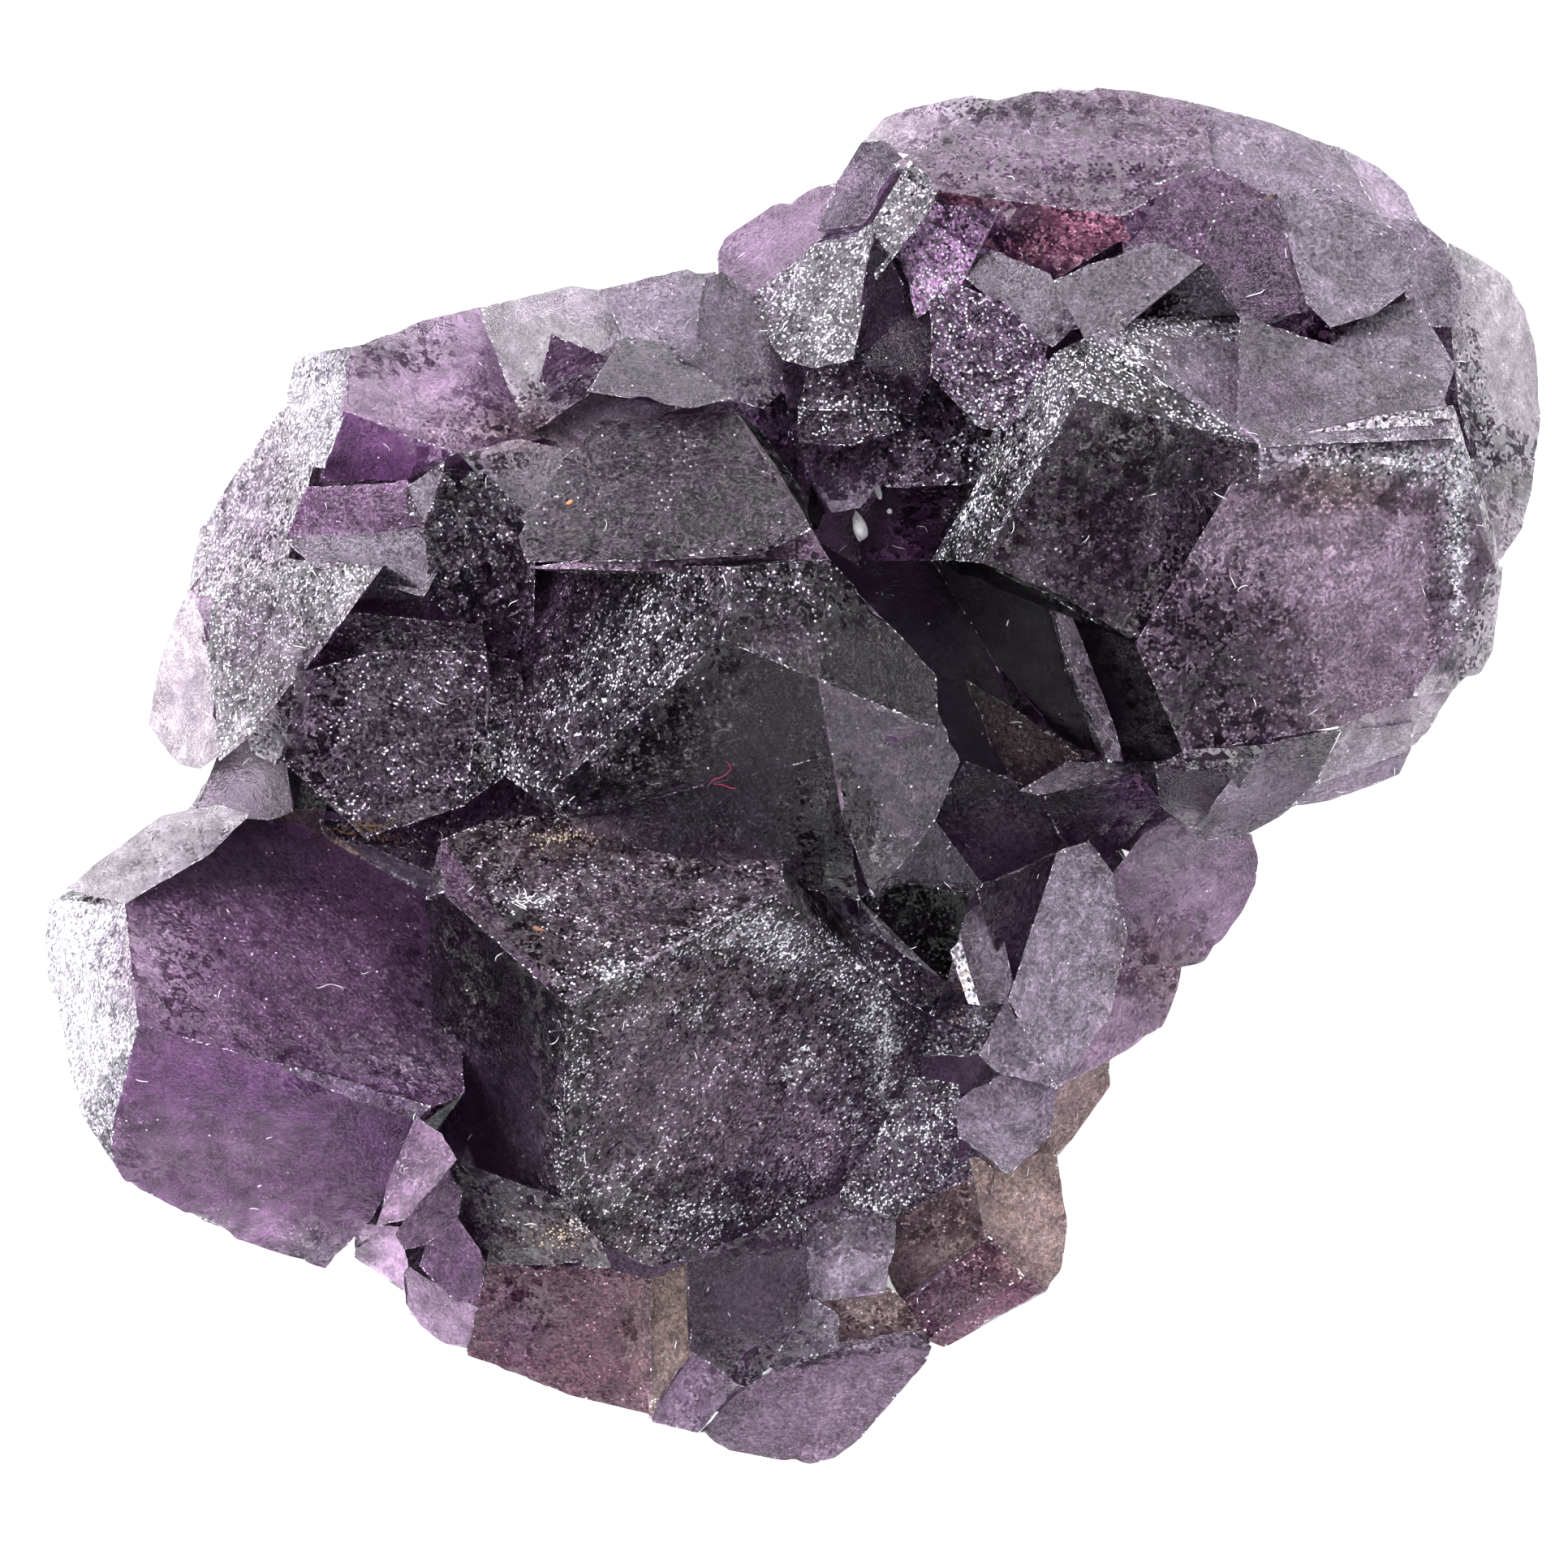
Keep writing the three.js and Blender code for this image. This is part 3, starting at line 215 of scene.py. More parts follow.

# each listed sheet place gives the face met there a kind, and a strength that scales its cloud; some strengths are
# raised to lighten faces that lie in shade, which is painted light, and the highlight, rim-glow and shadow kinds paint
# light and shade as noted at those kinds
FACES = """
390 484 snow .45, 534 462 lilac .75, 540 530 lilac .6, 464 558 violet .7, 432 626 purple, 524 602 slate 1.4, 456 682 slate 1.3, 636 576 slate .9
312 628 bright 1.3, 334 784 bright .9, 226 852 glow, 308 968 glow .6, 334 902 bright 4.5, 482 736 dark, 488 784 speck 1.2, 590 688 speck
476 904 speck 1.6, 608 894 speck, 614 952 speck, 380 984 black, 386 1018 brown 4, 486 1030 black, 518 1042 speck .6, 486 1066 slate 3, 536 1078 slate .7
670 410 glow .55, 696 444 purple .5, 692 488 dusk 1.5, 784 370 slate 1.5, 834 382 slate 1.0, 906 422 slate .6, 808 462 slate .7, 736 514 slate 2.4, 880 502 slate .6
816 610 dusk .8, 956 528 dark, 960 574 black, 928 692 speck, 746 810 speck 1.5, 962 750 dusk .8, 962 808 speck, 882 894 dark .8
754 922 dark .9, 914 950 dark 1.5, 918 1016 dark 1.3, 666 980 speck 1.5, 1020 790 speck .4, 1082 810 dark .6, 1080 880 slate .8, 1104 904 slate, 1092 972 slate .75
194 1050 glow .75, 362 1184 purple .8, 310 1412 violet .62, 126 1158 snow 1.6, 102 1242 snow, 134 1340 snow .8, 124 1396 snow .7, 448 1346 slate
510 1444 lilac 1.5, 532 1486 purple, 470 1546 lilac 2.6, 560 1556 purple 1.2, 540 1616 lilac, 644 1508 dusk .5, 702 1640 red .7, 824 1640 brown 1.5
694 1122 speck, 738 1104 crumb .8, 608 1286 dark .8, 684 1392 crumb .8, 858 1314 crumb 1.1, 1002 1390 crumb 2.0, 830 1166 slate 5, 838 1554 speck
922 1600 dark 1.6, 854 1722 lilac .7, 998 1648 slate 1.3, 1046 1542 slate 2.2, 1076 1622 brown .8, 1010 1726 mauve .75, 1118 1410 frosted .8, 1152 1522 brown .7
1186 1584 red .15, 1220 1616 red .7, 1266 1498 brown 1.6, 1170 1456 speck, 1214 1448 brown 1.3, 1240 1380 slate 1.9, 1328 1392 brown 1.8, 1384 1250 lilac 1.1
1458 1100 lilac .85, 1318 1182 slate 1.8, 1246 1294 slate 3, 1214 1182 slate 1.6, 1188 1198 bright 4.5, 1178 1234 bright 4, 1180 1270 frosted 1.2, 1176 1318 slate .5
1248 1114 dark 1.3, 1226 1012 dark 1.2, 1152 1064 slate .8, 1138 1132 black, 1112 1200 dark .7, 1018 1128 slate .5, 1042 1120 dark, 1412 1018 slate 1.2
1358 1000 dark .4, 1334 954 slate 1.4, 1480 958 night, 1560 970 slate .3, 1684 922 glow .9, 1688 962 slate 1.3, 1732 880 glow 1.2, 1808 796 glow 1.0
1256 910 brown .2, 1252 858 black, 1312 824 glass, 1342 850 slate 1.2, 1152 758 black, 1152 828 black, 1252 726 glass, 1304 740 black
952 292 lilac .5, 1060 228 slate .45, 1138 146 glow .6, 1142 168 glow .5, 1114 260 frosted 1.4, 1008 372 frosted 1.2, 1084 366 dark, 1110 448 dark 1.2
1036 478 speck, 978 478 slate 2.4, 1040 524 speck 1.3, 1040 580 slate 4, 1054 636 speck, 1028 658 dark, 1006 628 black, 1118 644 violet .15, 1154 550 speck 2.5
1210 438 ripple 1.2, 1160 308 ripple 4.2, 1293 286 red 1.5, 1406 264 purple .8, 1318 182 mauve .70, 1466 256 purple .62, 1576 192 slate 1.2, 1704 232 slate 2.2
1262 362 slate 1.2, 1382 350 slate, 1468 366 slate .55, 1544 318 purple .42, 1658 314 slate 1.3, 1764 336 slate 1.7, 1610 402 violet .4, 1728 420 slate 1.2
1324 444 bright .5, 1408 482 frosted .7, 1424 456 slate 1.3, 1474 406 frosted 2.2, 1474 450 slate 1.4, 1630 480 slate .9, 1796 444 glow .9, 1844 482 glow .9
1244 576 frosted 1.4, 1378 626 dusk, 1622 734 mauve .75, 1588 564 slate 5.4, 1698 520 bright 2.2, 1752 508 bright, 1870 420 glow .8, 1884 500 glow .8, 1866 600 glow .8, 1850 690 glow .8, 1802 594 glow .8, 1824 618 glow .8
"""
for entry in FACES.replace("\n", ",").split(","):
    if entry.strip():
        u, v, kind, *strength = entry.split()
        f = facet_at(float(u), float(v))
        if f is not None:
            give(f, kind, 0.03)
            looks[f, 3] *= float(strength[0]) if strength else 1.0

# softer changes within a face: middle, half widths, kind, strength, weight
# the bright patches are painted highlights where faces catch the lamps, the glow patches paint light shining through
# thin rims, and the opaque near-black patch is painted shadow
PATCHES = """
756 1200 26 20 bright 1.2 1, 861 1247 15 17 bright 1.2 .9, 985 1312 22 30 bright 1.0 .8, 870 1162 34 15 bright 1.1 .9, 940 1148 40 24 bright 1.3 1, 985 1190 40 24 bright 1.1 .8, 1072 1402 32 40 slate 2.2 .8, 1000 1395 60 60 crumb 2.2 .8, 1062 1230 50 80 frosted .9 .8, 1085 1390 35 60 frosted .9 .8, 1088 1280 18 60 bright 1.1 .9
900 1490 150 24 frosted .8 .8, 730 1500 40 36 frosted .7 .3, 710 1290 20 120 frosted .5 .5, 870 1340 130 95 purple 1.0 .35, 1090 1330 14 40 bright 1.0 .8
690 1030 58 20 brown 1.8 .7, 652 1108 40 12 snow 1 .5, 900 1095 70 24 slate 1 .4, 600 1170 60 90 black 1 .5, 640 1420 50 60 slate .6 .6
684 1525 50 22 brown 1.2 .5, 310 1066 80 30 slate .9 .6, 185 1185 40 60 lilac .9 .8, 470 1310 90 26 slate 1.1 .7, 540 1200 30 70 dark 1.5 .6
340 1345 140 36 deep 1 .65, 465 1395 44 52 deep .8 .7, 300 1515 130 34 lilac 1.2 .7, 190 1420 50 40 lilac .7 .6, 400 1545 40 20 slate 2 .8, 300 1420 60 40 lilac .7 .5
1690 680 100 90 mauve 1.1 .9, 1700 572 90 24 snow 1.2 1.0, 1650 600 60 26 brown 2.2 .6, 1796 640 15 110 snow 1.2 1.0, 1480 830 70 60 speck 1 .7
1400 430 30 34 bright .8 .7, 1560 490 60 26 purple .7 .5, 1700 450 60 30 slate 1.4 .6, 1240 150 90 30 slate 1.2 .7, 1340 190 120 34 lilac .6 .4
1305 280 46 20 red 1.9 .5, 1240 270 30 20 lilac 1 .7, 560 480 60 46 lilac 1 .8, 470 420 60 26 slate 1.2 .7, 600 540 60 20 lilac 1.3 .5
640 530 60 26 brown 1 .5, 820 770 46 60 frosted .9 .7, 740 840 50 60 frosted .9 .8, 640 940 40 30 frosted 1.2 .6, 660 760 60 70 purple .5 .6
1450 1050 60 30 glow .5 .6, 1430 1190 40 40 brown 1.8 .5, 1250 1560 40 26 brown 2 .5, 1064 1694 62 30 bright .9 .9, 960 1740 70 40 frosted .6 .4, 1090 940 50 30 slate 1 .5
308 634 34 46 lilac 1.3 .35, 1470 958 50 22 night 1 1, 650 985 60 36 frosted .8 .5, 340 790 42 48 purple .8 .45, 1860 380 40 50 glow 1 .7, 640 1640 30 40 purple 1.4 .5, 790 1640 20 70 brown 1.4 .6, 1420 690 60 60 purple .45 .5
1205 560 30 60 bright .9 .7, 1180 640 26 30 bright .9 .7, 1420 600 60 60 dark 1 .5, 380 870 20 60 lilac .6 .6, 1020 1040 34 60 black 1 .7
970 720 60 30 frosted .7 .3, 1030 560 40 20 ripple 1 .6, 1034 500 50 16 bright .6 .7, 720 500 50 16 slate 1.6 .6, 1330 380 60 30 slate 1.3 .5
"""

# ---- a finer skin on the same faces --------------------------------------------
def spacing(n):
    if n[2] > 0.05:
        return 0.42
    return 0.62 if n[2] > -0.35 else 1.3


points = [tuple(p) for p in verts]
cut = {}
for (p, q), pair in sides.items():
    step = min(spacing(normal[t]) for t in pair)
    length = np.linalg.norm(verts[p] - verts[q])
    n = max(1, int(round(length / step)))
    row = []
    for i in range(1, n):
        w = i / n
        row.append(len(points))
        points.append(tuple(verts[p] * (1 - w) + verts[q] * w))
    cut[(p, q)] = row

new_tris, new_facet = [], []
inner = {}
plane_of = {}


def run_of(p, q):
    """The points along a side, from p up to but not including q."""
    row = cut[(min(p, q), max(p, q))]
    return [p] + (row if p < q else row[::-1])


def skin(members, n, step, f):
    """Triangles of one face, as point numbers, with even points inside it."""
    directed = set()
    for t in members:
        a, b, c = tris[t]
        directed |= {(a, b), (b, c), (c, a)}
    rim = [(p, q) for p, q in directed if (q, p) not in directed]
    if not rim:
        return None
    p, q = max(rim, key=lambda k: np.linalg.norm(verts[k[0]] - verts[k[1]]))
    ex = verts[q] - verts[p]
    ex = ex - n * (ex @ n)
    ex /= max(np.linalg.norm(ex), 1e-12)
    ey = np.cross(n, ex)
    origin = verts[p]
    chain, segments, border = {}, [], set()
    for p, q in sorted(rim):
        run = run_of(p, q) + [q]
        for i in run:
            chain.setdefault(i, len(chain))
        segments += [(chain[a], chain[b]) for a, b in zip(run, run[1:])]
        border |= set(zip(run, run[1:]))
    ids = list(chain)
    flat = np.array([points[i] for i in ids]) - origin
    xy = np.stack([flat @ ex, flat @ ey], axis=1)
    corner = verts[tris[members]] - origin
    c2 = np.stack([corner @ ex, corner @ ey], axis=2)
    found = []
    if area[members].sum() > step * step * 0.6:
        lo, hi = xy.min(0), xy.max(0)
        grid = np.stack(np.meshgrid(np.arange(lo[0], hi[0] + step, step), np.arange(lo[1], hi[1] + step, step * 0.866)), axis=-1)
        grid[1::2, :, 0] += step / 2
        grid = grid.reshape(-1, 2)
        k = np.arange(len(grid))
        grid = grid + np.stack([hashed(k, k * 0 + members[0], k * 0, s) - 0.5 for s in (1, 2)], axis=1) * step * 0.3
        for k, t in enumerate(members):
            A, B, C = c2[k]
            det = (B[0] - A[0]) * (C[1] - A[1]) - (B[1] - A[1]) * (C[0] - A[0])
            if abs(det) < 1e-9:
                continue
            w1 = ((B[0] - grid[:, 0]) * (C[1] - grid[:, 1]) - (B[1] - grid[:, 1]) * (C[0] - grid[:, 0])) / det
            w2 = ((C[0] - grid[:, 0]) * (A[1] - grid[:, 1]) - (C[1] - grid[:, 1]) * (A[0] - grid[:, 0])) / det
            w3 = 1 - w1 - w2
            hit = np.nonzero((w1 > 0) & (w2 > 0) & (w3 >= 0))[0]
            if len(hit):
                p3 = w1[hit, None] * verts[tris[t][0]] + w2[hit, None] * verts[tris[t][1]] + w3[hit, None] * verts[tris[t][2]]
                found.append(np.concatenate([grid[hit], p3], axis=1))
    coords = [Vector((float(x), float(y))) for x, y in xy]
    fresh = []
    if found:
        found = np.concatenate(found)
        gap = np.full(len(found), 1e9)
        for s in range(0, len(xy), 400):
            gap = np.minimum(gap, np.sqrt(((found[:, None, :2] - xy[None, s:s + 400]) ** 2).sum(2)).min(1))
        for row, d in zip(found[gap > step * 0.55], gap[gap > step * 0.55]):
            fresh.append((tuple(row[2:]), float(d)))
            ids.append(len(points) + len(fresh) - 1)
            coords.append(Vector((float(row[0]), float(row[1]))))
    got = delaunay_2d_cdt(coords, segments, [], 2, 1e-7)
    out_v, out_f, from_v = got[0], got[2], got[3]
    if any(len(s) != 1 for s in from_v):
        return None
    piece = []
    for tri in out_f:
        a, b, c = (out_v[i] for i in tri)
        turn = (b[0] - a[0]) * (c[1] - a[1]) - (b[1] - a[1]) * (c[0] - a[0])
        abc = [ids[from_v[i][0]] for i in tri]
        piece.append(tuple(abc) if turn > 0 else (abc[0], abc[2], abc[1]))
    ends = set()
    for a, b, c in piece:
        for side in ((a, b), (b, c), (c, a)):
            if side in ends:
                return None
            ends.add(side)
    if {s for s in ends if (s[1], s[0]) not in ends} != border:
        return None
    for p3, d in fresh:
        inner[len(points)] = d
        points.append(p3)
    return piece


for f, (members, n) in enumerate(facets):
    p, q = max(((tris[t][i], tris[t][i - 1]) for t in members for i in range(3)), key=lambda k: np.linalg.norm(verts[k[0]] - verts[k[1]]))
    ex = verts[q] - verts[p] - n * ((verts[q] - verts[p]) @ n)
    ex /= max(np.linalg.norm(ex), 1e-12)
    plane_of[f] = (verts[p], ex, np.cross(n, ex))
    piece = skin(members, n, spacing(n), f)
    if piece is None:
        unflat.append(f)
        piece = []
        for t in members:
            part = skin([t], normal[t], spacing(n), f) if area[t] > 1e-3 else None
            if part is None:
                a, b, c = tris[t]
                loop = run_of(a, b) + run_of(b, c) + run_of(c, a)
                # a sliver: zip the loop shut between its two long sides
                start = max(range(3), key=lambda i: -len(run_of(tris[t][i], tris[t][(i + 1) % 3])))
                part = []
                lo, hi = 0, len(loop) - 1
                while hi - lo > 1:
                    if (hi - lo) % 2:
                        part.append((loop[lo], loop[lo + 1], loop[hi]))
                        lo += 1
                    else:
                        part.append((loop[lo], loop[hi - 1], loop[hi]))
                        hi -= 1
            piece += part
    new_tris += piece
    new_facet += [f] * len(piece)

points = np.array(points)
new_tris = np.array(new_tris)
new_facet = np.array(new_facet)
print("skin", len(points), "points", len(new_tris), "triangles", len(facets), "faces", len(unflat), "kept plain")

# growth relief inside the faces, and edges worn a little unevenly
home = np.full(len(points), -1)
home[new_tris.reshape(-1)] = np.repeat(new_facet, 3)
gap = np.zeros(len(points))
for i, d in inner.items():
    gap[i] = d
origin = np.array([plane_of[f][0] for f in range(len(facets))])
along = np.array([plane_of[f][1] for f in range(len(facets))])
across = np.array([plane_of[f][2] for f in range(len(facets))])
turn = rng.uniform(0, 400, (len(facets), 2))


def on_face(p, f):
    """Millimetres along and across face f, shifted so that no two faces share a pattern."""
    d = p - origin[f]
    return np.stack([(d * along[f]).sum(1) + turn[f, 0], (d * across[f]).sum(1) + turn[f, 1], f * 0.37], axis=1)


inside = np.nonzero(gap > 0)[0]
f = home[inside]
p = on_face(points[inside], f)
wave = fbm(p * [0.22, 0.40, 1.0], 3, 5)
steps = fbm(p * [0.16, 0.55, 1.0], 3, 31) * 3.5
steps = np.floor(steps) + np.clip((steps - np.floor(steps)) * 4 - 3, 0, 1)
lift = (wave * 0.12 + (steps - 0.5) * 0.065 - 0.03) * (0.35 + 0.8 * looks[f, 1]) * np.clip(gap[inside] / 0.9, 0, 1)
lift[facet_normal[f][:, 2] < -0.9] = 0.0
flow = np.cross(points[new_tris[:, 1]] - points[new_tris[:, 0]], points[new_tris[:, 2]] - points[new_tris[:, 0]])
upright = np.zeros_like(points)
for k in range(3):
    np.add.at(upright, new_tris[:, k], flow)
upright /= np.maximum(np.linalg.norm(upright, axis=1), 1e-12)[:, None]
plain = BVHTree.FromPolygons(points.tolist(), new_tris.tolist())
spare = np.full(len(points), 9.0)
for i in np.unique(new_tris):
    way = Vector(-upright[i])
    at, _, _, far = plain.ray_cast(Vector(points[i]) + way * 0.02, way, 3.0)
    if at is not None:
        spare[i] = far * 0.25
close = seen(1634, 926, 120)
spare[np.linalg.norm((points - close)[:, :2], axis=1) < 2.6] = 0.0
moved = points.copy()
moved[inside] += facet_normal[f] * np.clip(lift, -spare[inside], spare[inside])[:, None]
pairs = np.concatenate([new_tris[:, [0, 1]], new_tris[:, [1, 2]], new_tris[:, [2, 0]]])
total = np.zeros_like(points)
count = np.zeros(len(points))
np.add.at(total, pairs[:, 0], points[pairs[:, 1]])
np.add.at(count, pairs[:, 0], 1)
edge = np.nonzero((gap == 0) & (count > 0))[0]
pull = total[edge] / count[edge][:, None] - points[edge]
size = np.linalg.norm(pull, axis=1)
wear = 0.30 + 0.28 * fbm(points[edge] * 0.9, 3, 77)
moved[edge] += pull * np.clip(wear, 0.05, 0.6)[:, None] * np.minimum(1, np.minimum(0.22, spare[edge]) / np.maximum(size, 1e-9))[:, None]

# chips along the edges
crest = np.zeros(len(points))
bulge = -(pull * upright[edge]).sum(1)
crest[edge] = np.clip(bulge / 0.06, 0, 1)
chip = np.clip(fbm(points[edge] * 0.55, 3, 91) - 0.12, 0, 0.6) * np.clip(bulge / 0.08, 0, 1)
chip = chip * (0.6 + 0.6 * hashed(edge, edge * 0, edge * 0, 5))
chip[points[edge][:, 2] < 0.8] = 0.0
moved[edge] -= upright[edge] * np.minimum(chip * 0.75, spare[edge])[:, None]

body = bpy.data.meshes.new("crystals")
body.from_pydata((moved / 1000).tolist(), [], new_tris.tolist())
body.polygons.foreach_set("use_smooth", [True] * len(new_tris))
cluster = bpy.data.objects.new("crystals", body)
bpy.context.scene.collection.objects.link(cluster)
body.set_sharp_from_angle(angle=math.radians(24))

look_at = np.repeat(looks[new_facet], 3, axis=0)
cloud_and_glow_at = np.repeat(cloud_and_glow[new_facet], 3, axis=0)
corner_at = moved[new_tris.reshape(-1)]
ray = corner_at - EYE
hit = EYE[:2] + ray[:, :2] * (-EYE[2] - FOOT[2]) / ray[:, 2:3] + FOOT[:2]
sheet_u, sheet_v = hit[:, 0] / UNIT + CENTRE, CENTRE - hit[:, 1] / UNIT
shows = np.clip((np.repeat(facet_normal[new_facet], 3, axis=0)[:, 2] - 0.05) / 0.15, 0, 1) * (corner_at[:, 2] > 6.0)
for entry in PATCHES.replace("\n", ",").split(","):
    if entry.strip():
        u, v, ru, rv, kind, strength, weight = entry.split()
        reach = ((sheet_u - float(u)) / float(ru)) ** 2 + ((sheet_v - float(v)) / float(rv)) ** 2
        part = (float(weight) * shows * np.exp(-reach * 0.7))[:, None]
        frost, relief, crust_and_glint, milk_and_glow, colour = KINDS[kind]
        look_at = look_at * (1 - part) + np.array([frost, relief, crust_and_glint, milk_and_glow * float(strength)]) * part
        cloud_and_glow_at = cloud_and_glow_at * (1 - part) + np.array(colour) * part
look = body.attributes.new("look", "FLOAT_COLOR", "CORNER")
look.data.foreach_set("color", look_at.astype(np.float32).reshape(-1))
cloud_and_glow_layer = body.attributes.new("cloud_and_glow", "FLOAT_COLOR", "CORNER")
cloud_and_glow_layer.data.foreach_set("color", np.concatenate([cloud_and_glow_at, np.ones((len(cloud_and_glow_at), 1))], axis=1).astype(np.float32).reshape(-1))
ridge = body.attributes.new("crest", "FLOAT", "POINT")
ridge.data.foreach_set("value", crest.astype(np.float32))
place = body.attributes.new("place", "FLOAT_VECTOR", "CORNER")
place.data.foreach_set("vector", on_face(moved[new_tris.reshape(-1)], np.repeat(new_facet, 3)).astype(np.float32).reshape(-1))
body.update()


# ---- the crystal's material ---------------------------------------------------
class Wires:
    """Shorthand for building a node tree."""

    def __init__(self, tree):
        self.tree = tree
        tree.nodes.clear()

    def put(self, value, socket):
        if isinstance(value, bpy.types.NodeSocket):
            self.tree.links.new(value, socket)
        else:
            socket.default_value = value

    def node(self, kind, props=None, **inputs):
        n = self.tree.nodes.new(kind)
        for k, v in (props or {}).items():
            setattr(n, k, v)
        for k, v in inputs.items():
            self.put(v, n.inputs[k.replace("_", " ")])
        return n

    def math(self, op, a, b=0.0, c=0.0, clamp=False):
        n = self.node("ShaderNodeMath", {"operation": op, "use_clamp": clamp})
        for value, socket in zip((a, b, c), n.inputs):
            self.put(value, socket)
        return n.outputs[0]

    def scale(self, v, s):
        n = self.node("ShaderNodeVectorMath", {"operation": "MULTIPLY"})
        self.put(v, n.inputs[0])
        n.inputs[1].default_value = s
        return n.outputs[0]

    def ramp(self, fac, stops):
        n = self.node("ShaderNodeValToRGB")
        el = n.color_ramp.elements
        while len(el) < len(stops):
            el.new(0.5)
        for e, (at, colour) in zip(el, stops):
            e.position = at
            e.color = colour if len(colour) == 4 else (*colour, 1)
        self.put(fac, n.inputs[0])
        return n.outputs[0]

    def fit(self, v, a, b, c=0.0, d=1.0):
        n = self.node("ShaderNodeMapRange", {"clamp": True})
        for value, socket in zip((v, a, b, c, d), n.inputs):
            self.put(value, socket)
        return n.outputs[0]

    def mix(self, fac, a, b):
        n = self.node("ShaderNodeMix", {"data_type": "RGBA"})
        self.put(fac, n.inputs[0])
        self.put(a, n.inputs[6])
        self.put(b, n.inputs[7])
        return n.outputs[2]


def fluorite():
    m = bpy.data.materials.new("fluorite")
    m.use_nodes = True
    w = Wires(m.node_tree)
    where = w.node("ShaderNodeAttribute", {"attribute_name": "place"}).outputs["Vector"]
    given = w.node("ShaderNodeAttribute", {"attribute_name": "look"})
    split = w.node("ShaderNodeSeparateColor", Color=given.outputs["Color"])
    frost, relief, crust_and_glint_level = split.outputs[0], split.outputs[1], split.outputs[2]
    milk_and_glow = given.outputs["Alpha"]
    cloud_and_glow_colour = w.node("ShaderNodeAttribute", {"attribute_name": "cloud_and_glow"}).outputs["Color"]
    crest_at = w.node("ShaderNodeAttribute", {"attribute_name": "crest"}).outputs["Fac"]

    # mosaic of tiny tilted sub-faces
    long_way = w.scale(where, (0.85, 1.2, 1.0))

    def mosaic(scale):
        at = w.scale(where, (scale, scale, 1.0))
        cell = w.node("ShaderNodeTexVoronoi", {"voronoi_dimensions": "2D", "feature": "F1"}, Vector=at, Scale=1.0)
        off = w.node("ShaderNodeVectorMath", {"operation": "SUBTRACT"})
        w.put(at, off.inputs[0])
        w.put(cell.outputs["Position"], off.inputs[1])
        lean = w.node("ShaderNodeVectorMath", {"operation": "SUBTRACT"})
        w.put(cell.outputs["Color"], lean.inputs[0])
        lean.inputs[1].default_value = (0.5, 0.5, 0.5)
        length = w.node("ShaderNodeVectorMath", {"operation": "ABSOLUTE"})
        w.put(lean.outputs[0], length.inputs[0])
        steep = w.node("ShaderNodeVectorMath", {"operation": "MULTIPLY"})
        w.put(length.outputs[0], steep.inputs[0])
        w.put(lean.outputs[0], steep.inputs[1])
        dot = w.node("ShaderNodeVectorMath", {"operation": "DOT_PRODUCT"})
        w.put(off.outputs[0], dot.inputs[0])
        w.put(steep.outputs[0], dot.inputs[1])
        parts = w.node("ShaderNodeSeparateColor", Color=cell.outputs["Color"])
        return w.math("MULTIPLY_ADD", parts.outputs[2], 0.10, w.math("MULTIPLY", dot.outputs["Value"], 3.6)), cell, parts

    coarse, _, lump = mosaic(2.2)
    fine, grains, chance = mosaic(7.2)
    grain = w.node("ShaderNodeTexNoise", {"noise_dimensions": "2D"}, Vector=long_way, Scale=4.5, Detail=2.0, Roughness=0.75)
    middle = w.node("ShaderNodeTexNoise", {"noise_dimensions": "2D"}, Vector=long_way, Scale=0.9, Detail=1.5, Roughness=0.6)
    zone = w.node("ShaderNodeTexNoise", {"noise_dimensions": "2D"}, Vector=where, Scale=0.28, Detail=1.0, Roughness=0.6)
    height = w.math("MULTIPLY", coarse, 0.14)
    height = w.math("MULTIPLY_ADD", fine, 0.11, height)
    height = w.math("MULTIPLY", height, relief)
    height = w.math("MULTIPLY_ADD", grain.outputs[0], 0.10, height)
    bump = w.node("ShaderNodeBump", Strength=1.0, Distance=0.001, Height=height)

    # etched patches, cloud under the faces, white flecks that are partly etched micro facets and partly painted glints,
    # and edges whitened partly for wear and partly as a painted highlight
    patchy = w.math("MULTIPLY_ADD", zone.outputs[0], 1.3, -1.25)
    patchy = w.math("MULTIPLY_ADD", middle.outputs[0], 1.2, patchy)
    patchy = w.math("MULTIPLY_ADD", w.math("SUBTRACT", lump.outputs[0], 0.5), 0.42, patchy)
    etched = w.math("ADD", frost, patchy, clamp=True)
    rough = w.fit(etched, 0.0, 1.0, 0.10, 0.20)
    # the cloud just under the face; on thin rim faces its pale colour is painted light, standing in for light shining
    # through them
    cloud_and_glow_share = w.math("MULTIPLY", milk_and_glow, w.fit(patchy, -0.5, 0.5, 0.7, 1.3), clamp=True)
    dense = w.math("MULTIPLY", frost, w.fit(patchy, -0.10, 0.40, 0.15, 1.5), clamp=True)
    dense = w.math("MAXIMUM", dense, w.math("SUBTRACT", frost, 0.40))
